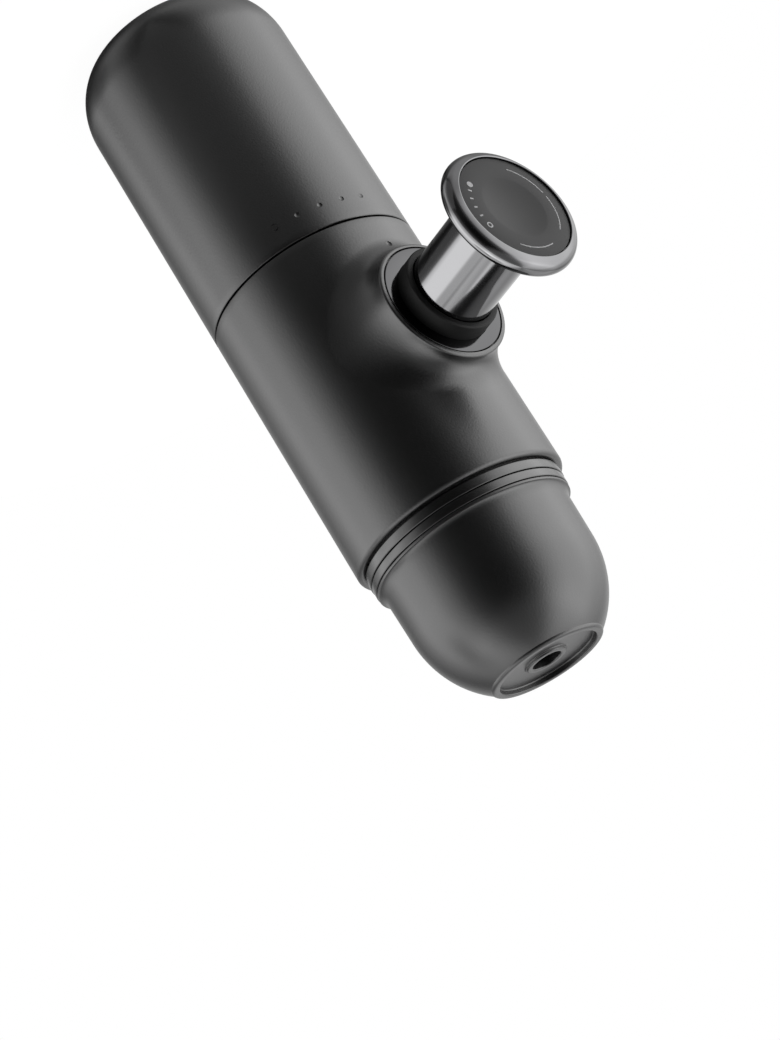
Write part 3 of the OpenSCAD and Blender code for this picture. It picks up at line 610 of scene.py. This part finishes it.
class MAKER_OT_casing(bpy.types.Operator):
    """Model the body casing with its boss, the blend around it and one index mark."""
    bl_idname = "maker.casing"
    bl_label = "Body casing"

    def execute(self, context):
        sizes = context.scene.maker_casing
        knob = context.scene.maker_knob
        low, lip = CASING_LOW.z, CASING_HIGH.z
        edge, soft = sizes.seam_edge, sizes.lip_round
        inner_r = BODY_R - sizes.casing_wall
        boss_r = BEZEL_HIGH.x + sizes.bezel_gap + sizes.boss_rim
        outline = [(inner_r, low)]
        outline += arc((BODY_R - edge, low + edge), (edge, edge), -90, 0, 5)
        outline += rows(BODY_R, low + edge, lip - soft)
        outline += arc((BODY_R - soft, lip - soft), (soft, soft), 0, 90, 10)
        outline += [(inner_r, lip)]
        casing = spin("casing_skin", outline, steps=256)
        cut(casing, boss_with_blend(sizes, boss_r), "UNION")
        bore = [(0, low - MM), (inner_r, low - MM), (inner_r, lip + MM), (0, lip + MM)]
        cut(casing, spin("bore", bore, steps=256, closed=False))
        hole_r = knob.collar_r + FIT
        seat_r = boss_r - sizes.boss_rim
        seat_h = BEZEL_H - 2 * MM
        hole = [(0, 0), (hole_r, 0), (hole_r, seat_h), (seat_r, seat_h), (seat_r, BEZEL_H + MM),
                (0, BEZEL_H + MM)]
        cut(casing, spin("hole", hole, along_pump, steps=144, closed=False))
        cut(casing, mark_tool(0, low + sizes.body_mark, sizes.mark_r, sizes.mark_depth))
        finish(casing, "casing", "pump_body", "casing", "body_shell")
        return {"FINISHED"}


class MAKER_OT_rings(bpy.types.Operator):
    """Model the neck ring and the collar ring between body and head."""
    bl_idname = "maker.rings"
    bl_label = "Neck rings"

    def execute(self, context):
        sizes = context.scene.maker_head
        soft = sizes.ring_round
        groove_r, groove_z = NECK_HIGH.x - sizes.groove_depth, NECK_LOW.z + sizes.groove_w
        top_z = RING_LOW.z - sizes.ring_line
        outline = [(sizes.ring_bore_r, NECK_LOW.z), (groove_r, NECK_LOW.z)]
        outline += ring_outline(NECK_HIGH.x, groove_r, groove_z, top_z, soft)[:-1]
        neck = spin("neck_ring_skin", outline + [(sizes.ring_bore_r, top_z)])
        finish(neck, "ring", "pump_body", "casing", "neck_ring")
        ring = spin("collar_ring_skin", ring_outline(RING_HIGH.x, sizes.collar_bore_r, RING_LOW.z,
                                                     RING_HIGH.z, soft))
        finish(ring, "ring", "head", "casing", "head_collar")
        return {"FINISHED"}


class MAKER_OT_head(bpy.types.Operator):
    """Model the outlet head with its bead, dome and recess, and the spout."""
    bl_idname = "maker.head"
    bl_label = "Outlet head"

    def execute(self, context):
        sizes = context.scene.maker_head
        bead_z = RING_HIGH.z
        bead_r = HEAD_HIGH.x
        end_z = HEAD_HIGH.z
        recess_z = end_z - sizes.recess_depth
        dome_r = sizes.side_r - sizes.taper
        end_turn = math.degrees(math.acos(sizes.rim_r / dome_r))
        dome_z = end_z - sizes.rim_round - sizes.dome_h * math.sin(math.radians(end_turn))
        soft, rim = sizes.bead_round, sizes.rim_round
        hole_r = sizes.spout_r + FIT
        wall_r, wall_h = dome_r - sizes.wall, sizes.dome_h - sizes.wall
        floor_z = recess_z - 2.4 * MM
        inner_turn = math.degrees(math.asin((floor_z - dome_z) / wall_h))
        sleeve_r = sizes.collar_bore_r - FIT
        edge = 0.35 * MM
        corner = 0.4 * MM
        outline = [(sizes.bore_r, HEAD_LOW.z), (sleeve_r, HEAD_LOW.z), (sleeve_r, bead_z)]
        outline += arc((bead_r - soft, bead_z + soft), (soft, soft), -90, 0, 6)
        outline += arc((bead_r, bead_z + sizes.bead_h), (bead_r - sizes.side_r,
                                                         sizes.bead_h - 2 * soft), 270, 180, 10)
        outline += arc((0, dome_z), (dome_r, sizes.dome_h), 0, end_turn, 40)
        outline += arc((sizes.rim_r - rim, end_z - rim), (rim, rim), 20, 90, 7)
        outline += arc((sizes.recess_r + edge, end_z - edge), (edge, edge), 90, 180, 5)
        outline += arc((sizes.recess_r - corner, recess_z + corner), (corner, corner), 0, -90, 5)
        outline += [(hole_r, recess_z), (hole_r, floor_z)]
        outline += arc((0, dome_z), (wall_r, wall_h), inner_turn, 0, 20)
        outline += [(wall_r, GROUP_TOP.z), (sizes.bore_r, GROUP_TOP.z)]
        head = spin("head_skin", outline, steps=224)
        finish(head, "head_plastic", "head", "head_plastic", "outlet_head")

        bore_r, spout_r, top_z = sizes.spout_bore_r, sizes.spout_r, SPOUT_HIGH.z
        spout = [(bore_r, SPOUT_LOW.z), (spout_r, SPOUT_LOW.z), (spout_r, recess_z)]
        spout += arc((spout_r + 0.6 * MM, recess_z + 0.3 * MM), (0.3 * MM, 0.3 * MM), 270, 180, 4)
        spout += arc((spout_r - edge, top_z - edge), (edge, edge), 0, 90, 5)
        spout += arc((bore_r + edge, top_z - edge), (edge, edge), 90, 180, 5)
        piece = spin("spout_skin", spout, steps=128)
        finish(piece, "head_plastic", "head", "head_plastic", "head_spout")
        return {"FINISHED"}


class MAKER_OT_pump_front(bpy.types.Operator):
    """Model the bezel in the boss and the guide collar round the knob's tube."""
    bl_idname = "maker.pump_front"
    bl_label = "Bezel and collar"

    def execute(self, context):
        sizes = context.scene.maker_knob
        bezel = spin("bezel_skin", ring_outline(BEZEL_HIGH.x, sizes.collar_r + FIT, -BEZEL_HIGH.y,
                                                BEZEL_H, 0.18 * MM), along_pump)
        finish(bezel, "bezel_metal", "pump_body", "bezel_metal", "boss_bezel")

        foot_r, top_h, start_h = COLLAR_HIGH.x, -COLLAR_LOW.y, -COLLAR_HIGH.y
        foot_h = start_h + 2 * MM
        soft, edge = 0.5 * MM, 0.3 * MM
        outline = [(sizes.collar_bore_r, start_h), (foot_r, start_h), (foot_r, foot_h),
                   (sizes.collar_r, foot_h)]
        outline += arc((sizes.collar_r - soft, top_h - soft), (soft, soft), 0, 90, 6)
        outline += arc((sizes.collar_bore_r + edge, top_h - edge), (edge, edge), 90, 180, 4)
        collar = spin("guide_collar_skin", outline, along_pump)
        finish(collar, "collar_plastic", "pump_body", "collar_plastic", "guide_collar")
        return {"FINISHED"}


def knob_sleeve(sizes):
    """The knob's tube, with its stop flange at the inner end."""
    start_h, end_h = -SLEEVE_HIGH.y, -SLEEVE_LOW.y
    bore_r = sizes.tube_r - sizes.tube_wall
    stop_h = start_h + sizes.stop_t
    edge = 0.15 * MM
    outline = [(bore_r, start_h), (SLEEVE_HIGH.x, start_h), (SLEEVE_HIGH.x, stop_h),
               (sizes.tube_r, stop_h), (sizes.tube_r, end_h - edge), (sizes.tube_r - edge, end_h),
               (bore_r, end_h)]
    return spin("knob_tube_skin", outline, along_pump)


def knob_flange(sizes):
    """The flange under the knob's rim: its neck flares from the tube into a rounded edge."""
    hub_h, top_h = -FLANGE_HIGH.y, -FLANGE_LOW.y
    foot_h = -SLEEVE_LOW.y
    edge_r = FLANGE_HIGH.x
    neck_r = sizes.tube_r + sizes.flange_neck
    bore_r, hub_r = 3.08 * MM, 5.4 * MM
    pocket_r, screw_r, pocket_h = 3.1 * MM, 1.68 * MM, top_h - 1.6 * MM
    spigot_r = sizes.tube_r - sizes.tube_wall - FIT
    spigot_h = foot_h - 2 * MM
    edge = 0.12 * MM
    outline = [(bore_r, hub_h), (hub_r, hub_h), (hub_r, spigot_h), (spigot_r, spigot_h),
               (spigot_r, foot_h), (neck_r - edge, foot_h), (neck_r, foot_h + edge)]
    outline += arc((neck_r + 1.3 * MM, foot_h + 0.5 * MM), (1.3 * MM, 0.9 * MM), 180, 110, 8)
    side_h = top_h - sizes.side_drop
    round_r = sizes.rim_round
    top_turn = math.degrees(math.asin(sizes.side_drop / round_r))
    outline += arc((edge_r - 1.9 * MM, side_h), (1.9 * MM, side_h - foot_h - 1.4 * MM), -75, 0, 14)
    outline += arc((edge_r - round_r, side_h), (round_r, round_r), 3, top_turn, 6)
    outline += [(pocket_r, top_h), (pocket_r, pocket_h), (screw_r, pocket_h),
                (screw_r, foot_h + FIT), (bore_r, foot_h + FIT)]
    return spin("knob_flange_skin", outline, along_pump)


def knob_rim(sizes):
    """The rounded rim ring around the inlay."""
    base_h, crest_h = -RIM_HIGH.y, -RIM_LOW.y
    rim_r = RIM_HIGH.x
    inner_r = rim_r - sizes.rim_wall + sizes.inlay_gap
    lip = sizes.lip_round
    round_r = sizes.rim_round
    centre = (FLANGE_HIGH.x - round_r, base_h - sizes.side_drop)
    low_turn = math.degrees(math.asin(sizes.side_drop / round_r))
    outline = [(inner_r, base_h)]
    outline += arc(centre, (round_r, round_r), low_turn, 65, 24)
    outline += arc((inner_r + lip, crest_h - lip), (lip, lip), 65, 180, 7)
    return spin("knob_rim_skin", outline, along_pump)


def knob_inlay(sizes):
    """The disc in the knob's end, with a soft dish in its middle."""
    base_h, top_h = -INLAY_HIGH.y, -INLAY_LOW.y + sizes.inlay_rise
    disc_r = INLAY_HIGH.x
    edge = 0.12 * MM
    outline = [(0, base_h), (disc_r, base_h)]
    outline += arc((disc_r - edge, top_h - edge), (edge, edge), 0, 90, 4)
    steps = 24
    for i in range(steps + 1):
        share_in = 1 - i / steps
        outline.append((sizes.dish_r * share_in,
                        top_h - sizes.dish_depth * (1 - share_in ** 2) ** 1.12))
    return spin("knob_inlay_skin", outline, along_pump, closed=False)


# Places of the inlay's printed marks, in degrees about the pump's axis from +X.
DOT_AT, CIRCLE_AT = -39.4, 20.6
TICKS_AT = (-27.4, -15.4, -3.4, 8.6)
ARCS_AT = (-115, 110, 190)
TICK_SPAN, ARC_SPAN = 2, 50


def print_disc(base_h, angle, ring_r, radius, hole_r=0):
    """A flat printed dot or open circle on the inlay. Angle about the pump's axis from +X."""
    turn = math.radians(angle)
    place = Vector((ring_r * math.cos(turn), -base_h - INK / 2, PUMP_Z + ring_r * math.sin(turn)))
    deselect()
    bpy.ops.mesh.primitive_cylinder_add(vertices=40, radius=radius, depth=INK, location=place,
                                        rotation=(math.pi / 2, 0, 0))
    disc = bpy.context.object
    if hole_r:
        bpy.ops.mesh.primitive_cylinder_add(vertices=40, radius=hole_r, depth=4 * INK,
                                            location=place, rotation=(math.pi / 2, 0, 0))
        cut(disc, bpy.context.object)
    only(disc)
    bpy.ops.object.transform_apply(location=True, rotation=True, scale=True)
    return disc


def print_arc(base_h, start, end, inner_r, outer_r, steps):
    """A flat printed bar that follows the inlay's edge between two angles."""
    top_h = base_h + INK
    turn = math.radians(start)
    corners = [(inner_r, base_h), (outer_r, base_h), (outer_r, top_h), (inner_r, top_h)]
    points = [Vector((r * math.cos(turn), -h, PUMP_Z + r * math.sin(turn))) for r, h in corners]
    bar = draw("bar", points, True)
    bpy.ops.mesh.select_all(action="SELECT")
    bpy.ops.mesh.edge_face_add()
    bpy.ops.mesh.spin(steps=steps, angle=-math.radians(end - start), center=PUMP_CENTRE,
                      axis=(0, 1, 0))
    weld(0.001 * MM)
    return bar


class MAKER_OT_knob(bpy.types.Operator):
    """Model the pump's knob: tube, flange, rim, dished inlay and its printed marks."""
    bl_idname = "maker.knob"
    bl_label = "Knob"

    def execute(self, context):
        sizes = context.scene.maker_knob
        for make, slot, node in ((knob_sleeve, "tube_metal", "knob_sleeve"),
                                 (knob_flange, "tube_metal", "knob_flange"),
                                 (knob_rim, "rim_metal", "knob_rim"),
                                 (knob_inlay, "inlay", "knob_inlay")):
            finish(make(sizes), slot, "knob", slot, node)
        base_h = -INLAY_LOW.y + sizes.inlay_rise - 0.05 * MM
        ring_r, tick, line = sizes.mark_r, sizes.tick_len / 2, sizes.line_w / 2
        marks = [print_disc(base_h, DOT_AT, ring_r, sizes.dot_r),
                 print_disc(base_h, CIRCLE_AT, ring_r, sizes.dot_r, sizes.circle_hole_r)]
        marks += [print_arc(base_h, place - TICK_SPAN / 2, place + TICK_SPAN / 2, ring_r - tick,
                            ring_r + tick, 2) for place in TICKS_AT]
        marks += [print_arc(base_h, start, start + ARC_SPAN, ring_r - line, ring_r + line, 24)
                  for start in ARCS_AT]
        finish(join("knob_prints", marks), "print", "knob", "inlay", angle=0)
        return {"FINISHED"}


def thread(name, sizes, root_r, z0, turns):
    """A screw thread: one ridge wound up a cylinder, fading out at both ends."""
    pitch, crest, half = sizes.pitch, sizes.crest, sizes.ridge_w / 2
    sunk = 0.25 * MM                # how deep the ridge's foot stands in the cylinder
    faded = 0.05 * MM               # and how deep its crest ends
    corners = [(root_r - sunk, -half), (root_r, -half), (root_r + crest, -half / 3),
               (root_r + crest, half / 3), (root_r, half), (root_r - sunk, half)]
    ridge = draw(name, [along_maker(r, z0 + z) for r, z in corners], True)
    wind(ridge, "Z", turns, pitch, int(96 * turns))
    lead = 0.12 * pitch * turns
    top = z0 + pitch * turns
    sections = {}
    for vertex in ridge.data.vertices:
        side = math.hypot(vertex.co.x, vertex.co.y)
        turn = math.atan2(vertex.co.y, vertex.co.x) % FULL_TURN
        rise = vertex.co.z - z0 - pitch * turn / FULL_TURN
        way = z0 + pitch * (turn / FULL_TURN + round(rise / pitch))
        fade = max(0, min(1, (way - z0) / lead, (top - way) / lead))
        if fade < 1 and side > root_r + 0.01 * MM:
            sections.setdefault(round(fade, 3), set()).add(vertex.index)
    bpy.ops.object.mode_set(mode="EDIT")
    bpy.ops.mesh.select_mode(type="VERT")
    for fade, picked in sections.items():
        bpy.ops.mesh.select_all(action="DESELECT")
        bpy.ops.object.mode_set(mode="OBJECT")
        for index in picked:
            ridge.data.vertices[index].select = True
        closer = (root_r - faded + (crest + faded) * fade) / (root_r + crest)
        bpy.ops.object.mode_set(mode="EDIT")
        bpy.ops.transform.resize(value=(closer, closer, 1), center_override=(0, 0, 0))
    bpy.ops.object.mode_set(mode="OBJECT")
    return ridge


def coil(name, wire_r, start_h, turns, pitch):
    """Turns of the return spring's wire, wound about the pump's axis from start_h inwards."""
    deselect()
    bpy.ops.mesh.primitive_circle_add(vertices=12, radius=wire_r, rotation=(0, math.pi / 2, 0),
                                      location=(0, -start_h, SPRING_HIGH.x - wire_r))
    wire = bpy.context.object
    wire.name = name
    bpy.ops.object.transform_apply(location=True, rotation=True, scale=True)
    wind(wire, "Y", turns, pitch, 32 * turns)
    bpy.ops.transform.translate(value=(0, 0, PUMP_Z))
    bpy.ops.object.transform_apply(location=True, rotation=False, scale=False)
    return wire


class MAKER_OT_spring(bpy.types.Operator):
    """Wind the return spring in two runs of one wire: one stays with the pump body, the other
    goes in with the piston and its turns pass between those of the first."""
    bl_idname = "maker.spring"
    bl_label = "Return spring"

    def execute(self, context):
        sizes = context.scene.maker_inner
        wire_r = sizes.wire_d / 2
        fixed, moving = sizes.fixed_turns, sizes.turns - sizes.fixed_turns
        start_h = -SPRING_LOW.y - wire_r
        pitch = (start_h + SPRING_HIGH.y - wire_r) / sizes.turns
        stays = coil("spring_fixed_turns", wire_r, start_h - moving * pitch, fixed, pitch)
        finish(stays, "steel", "pump_body", "steel", "return_spring", angle=50)
        moves = coil("spring_moving_turns", wire_r, start_h, moving, pitch)
        finish(moves, "steel", "piston", "steel", angle=50)
        return {"FINISHED"}


class MAKER_OT_threads(bpy.types.Operator):
    """Model the screw threads on the spigot and the neck, seen when the maker is unscrewed."""
    bl_idname = "maker.threads"
    bl_label = "Threads"

    def execute(self, context):
        sizes = context.scene.maker_inner
        for name, root_r, z0, turns in (
                ("tank_thread", sizes.spigot_r, SEAM_Z - 4.2 * MM, 0.85),
                ("neck_thread", sizes.neck_r, NECK_HIGH.z + 1.2 * MM, 1.6)):
            ridge = thread(name, sizes, root_r, z0, turns)
            finish(ridge, "dark_plastic", "pump_body", "dark_plastic", angle=50)
        return {"FINISHED"}


class MAKER_OT_inner_finishes(bpy.types.Operator):
    """Give every piece of the construction the finish of its slot."""
    bl_idname = "maker.inner_finishes"
    bl_label = "Inner finishes"

    def execute(self, context):
        looks = finish_table()
        for part in frame["record"]["subparts"]:
            piece = frame["nodes"][part["node"]]
            piece.data.materials.clear()
            piece.data.materials.append(looks[part["material_slot"]])
        return {"FINISHED"}


# ---- stage

# The camera: degrees from the knob's side towards +X, degrees above the floor, and the roll with
# which the photograph holds the maker outlet down.
VIEW_TURN, VIEW_RISE, VIEW_ROLL = 45.456, 20.090, 148.519
LENS, SENSOR = 85.188, 36
CAMERA_PLACE = Vector((0.430721, -0.402864, 0.368720))
KEY_PLACE, KEY_AIM = Vector((0.1, -0.5, 0.75)), Vector((0, 0, 0.1))

# What gloss shows of the room. Round the room: place from the front (0) to the back (1) and
# strength. Heights: place from straight down (0) to straight up (1) and share or strength.
LEFT_WINDOW = ((0, 0.03), (0.1, 0.05), (0.2, 0.4), (0.33, 4.0), (0.42, 5.2), (0.6, 4.2),
               (0.72, 2.0), (0.84, 0.6), (1, 0))
RIGHT_WINDOW = ((0, 0.03), (0.1, 0.05), (0.2, 0.35), (0.33, 2.6), (0.42, 4.4), (0.6, 3.4),
                (0.7, 1.1), (0.8, 0.2), (1, 0))
BACK_WALL = ((0, 0), (0.78, 0), (0.9, 0.6), (0.97, 1), (1, 1))
SIDE_HEIGHTS = ((0, 0.2), (0.15, 0.3), (0.3, 1), (0.6, 1), (0.7, 1.05), (0.8, 1.15), (0.9, 0.8),
                (1, 0.5))
BACK_HEIGHTS = ((0, 0.1), (0.14, 0.1), (0.3, 0.9), (0.6, 1), (1, 0.8))
SKY_HEIGHTS = ((0, 0.1), (0.5, 0), (0.72, 0), (0.85, 0.6), (1, 0.7))
# Dark cards before the right window: direction, full size and faded size as cosines, share left.
CARDS = ((90, 23, 0.99, 0.968, 0.5), (101, 37, 0.988, 0.966, 0.5), (100, -44, 0.985, 0.955, 0.25),
         (93, -28, 0.996, 0.983, 0.85), (150, -50, 0.97, 0.9, 0.12))


def world_light(settings):
    """White room for the camera. In gloss it is bright at both sides and dim at the front."""
    world = bpy.data.worlds.new("studio")
    bpy.context.scene.world = world
    world.use_nodes = True
    world.node_tree.nodes.clear()
    room = Tree(world.node_tree)
    add, link, math_node = room.add, room.link, room.math

    def towards(direction):
        node = add("ShaderNodeVectorMath", operation="DOT_PRODUCT")
        link(place, node.inputs[0])
        node.inputs[1].default_value = direction
        return node.outputs["Value"]

    def curve(value, stops):
        """A smooth curve through pairs of a place from 0 to 1 and a strength."""
        node = add("ShaderNodeValToRGB")
        node.color_ramp.interpolation = "EASE"
        top = max(strength for _, strength in stops)
        elements = node.color_ramp.elements
        for position, strength in stops[1:-1]:
            elements.new(position)
        for element, (position, strength) in zip(elements, stops):
            element.position = position
            element.color = [strength / top] * 3 + [1]
        link(value, node.inputs["Fac"])
        return math_node("MULTIPLY", node.outputs["Color"], top)

    place = add("ShaderNodeTexCoord").outputs["Generated"]
    turn = math.radians(VIEW_TURN)
    front = towards(Vector((math.sin(turn), -math.cos(turn), 0)))
    side = towards(Vector((math.cos(turn), math.sin(turn), 0)))
    height = math_node("MULTIPLY_ADD", towards(Vector((0, 0, 1))), 0.5)
    height.node.inputs[2].default_value = 0.5
    round_turn = math_node("DIVIDE", math_node("ARCTAN2", math_node("ABSOLUTE", side), front),
                           math.pi)
    left = curve(round_turn, LEFT_WINDOW)
    right = curve(round_turn, RIGHT_WINDOW)
    is_right = math_node("GREATER_THAN", side, 0.0)
    sides = math_node("ADD", math_node("MULTIPLY", is_right, right),
                      math_node("MULTIPLY", math_node("SUBTRACT", 1.0, is_right), left))
    gloss = math_node("MULTIPLY", sides, curve(height, SIDE_HEIGHTS))
    wall = math_node("MULTIPLY", curve(round_turn, BACK_WALL), curve(height, BACK_HEIGHTS))
    gloss = math_node("ADD", math_node("ADD", gloss, wall), curve(height, SKY_HEIGHTS))
    for across, rise, full, faded, left_over in CARDS:
        across, rise = math.radians(VIEW_TURN + across), math.radians(rise)
        aim = Vector((math.sin(across) * math.cos(rise), -math.cos(across) * math.cos(rise),
                      math.sin(rise)))
        card = add("ShaderNodeMapRange", interpolation_type="SMOOTHSTEP")
        link(towards(aim), card.inputs["Value"])
        for key, number in (("From Min", faded), ("From Max", full), ("To Min", 1),
                            ("To Max", left_over)):
            card.inputs[key].default_value = number
        gloss = math_node("MULTIPLY", gloss, card.outputs["Result"])

    rays = add("ShaderNodeLightPath")
    plain = math_node("MULTIPLY", rays.outputs["Is Diffuse Ray"], settings.plain_light)
    shiny = math_node("MAXIMUM", rays.outputs["Is Glossy Ray"], rays.outputs["Is Transmission Ray"])
    shown = math_node("ADD", plain, math_node("MULTIPLY", shiny, gloss))
    shown = math_node("ADD", shown, rays.outputs["Is Camera Ray"])
    background = add("ShaderNodeBackground")
    link(shown, background.inputs["Strength"])
    background.inputs["Color"].default_value = (1, 1, 1, 1)
    link(background.outputs["Background"], add("ShaderNodeOutputWorld").inputs["Surface"])


def floor_material():
    """Pale floor that shows white to the camera and keeps part of its shadow."""
    nodes = Nodes("floor")
    nodes.tint(nodes.noise(20, 2.0), (0.86, 0.86, 0.86), 0.01)
    nodes.rough(0.7)
    glow = nodes.add("ShaderNodeEmission", strength=1.13)
    rays = nodes.add("ShaderNodeLightPath")
    mix = nodes.add("ShaderNodeMixShader")
    nodes.link(nodes.math("MULTIPLY", rays.outputs["Is Camera Ray"], 0.85), mix.inputs["Fac"])
    nodes.link(nodes.shader.outputs["BSDF"], mix.inputs[1])
    nodes.link(glow.outputs["Emission"], mix.inputs[2])
    nodes.link(mix.outputs["Shader"], nodes.tree.nodes["Material Output"].inputs["Surface"])
    return nodes.material


def softbox(name, place, aim, width, watts, in_gloss):
    """A square area lamp that the camera doesn't see."""
    deselect()
    bpy.ops.object.light_add(type="AREA", location=place)
    lamp = bpy.context.object
    lamp.name = name
    lamp.data.shape = "SQUARE"
    lamp.data.size = width
    lamp.data.energy = watts
    lamp.visible_camera = False
    lamp.visible_glossy = in_gloss
    lamp.rotation_euler = (aim - place).to_track_quat("-Z", "Y").to_euler()


class MAKER_OT_stage(bpy.types.Operator):
    """Lay the floor, hang the lights and place the camera."""
    bl_idname = "maker.stage"
    bl_label = "Stage"

    def execute(self, context):
        settings = context.scene.maker_stage
        deselect()
        bpy.ops.mesh.primitive_circle_add(vertices=128, radius=settings.floor_r, fill_type="NGON",
                                          location=(0, 0, -0.05 * MM))
        floor = context.object
        floor.name = "floor"
        floor.data.materials.append(floor_material())
        world_light(settings)
        floor.visible_glossy = False
        softbox("key", KEY_PLACE, KEY_AIM, settings.key_w, settings.key_power, False)
        turn = math.radians(VIEW_TURN)
        card = Vector((math.sin(turn), -math.cos(turn), 0)) * settings.card_reach
        softbox("card", card, card + Vector((0, 0, 1)), settings.card_w, settings.card_power, True)

        deselect()
        bpy.ops.object.camera_add()
        camera = context.object
        turned = (Matrix.Rotation(math.radians(VIEW_TURN), 4, "Z")
                  @ Matrix.Rotation(math.radians(90 - VIEW_RISE), 4, "X")
                  @ Matrix.Rotation(math.radians(VIEW_ROLL), 4, "Z"))
        camera.matrix_world = Matrix.Translation(CAMERA_PLACE) @ turned
        camera.data.lens = LENS
        camera.data.sensor_width = SENSOR
        camera.data.clip_start = 0.01
        camera.data.clip_end = 10
        context.scene.camera = camera
        context.scene.view_settings.view_transform = "Standard"
        return {"FINISHED"}


# ---- add-on

class MAKER_PT_panel(bpy.types.Panel):
    """Lists the pieces of the espresso maker."""
    bl_idname = "MAKER_PT_panel"
    bl_label = "Espresso maker"
    bl_space_type = "VIEW_3D"
    bl_region_type = "UI"
    bl_category = "Espresso"

    def draw(self, context):
        for operator in OPERATORS:
            self.layout.operator(operator.bl_idname)


OPERATORS = (MAKER_OT_tank, MAKER_OT_casing, MAKER_OT_rings, MAKER_OT_head, MAKER_OT_pump_front,
             MAKER_OT_knob, MAKER_OT_threads, MAKER_OT_spring, MAKER_OT_inner_finishes,
             MAKER_OT_stage)
GROUPS = {"maker_casing": CasingSizes, "maker_knob": KnobSizes, "maker_head": HeadSizes,
          "maker_inner": InnerSizes, "maker_finishes": Finishes, "maker_stage": StageSettings}


def register():
    for group in GROUPS.values():
        bpy.utils.register_class(group)
    for name, group in GROUPS.items():
        setattr(bpy.types.Scene, name, PointerProperty(type=group))
    for operator in OPERATORS:
        bpy.utils.register_class(operator)
    bpy.utils.register_class(MAKER_PT_panel)


def unregister():
    bpy.utils.unregister_class(MAKER_PT_panel)
    for operator in reversed(OPERATORS):
        bpy.utils.unregister_class(operator)
    for name, group in GROUPS.items():
        delattr(bpy.types.Scene, name)
        bpy.utils.unregister_class(group)


def main():
    register()
    deselect()
    bpy.ops.maker.tank()
    bpy.ops.maker.casing()
    bpy.ops.maker.rings()
    bpy.ops.maker.head()
    bpy.ops.maker.pump_front()
    bpy.ops.maker.knob()
    bpy.ops.maker.threads()
    bpy.ops.maker.spring()
    bpy.ops.maker.inner_finishes()
    bpy.ops.maker.stage()


if __name__ == "__main__":
    main()
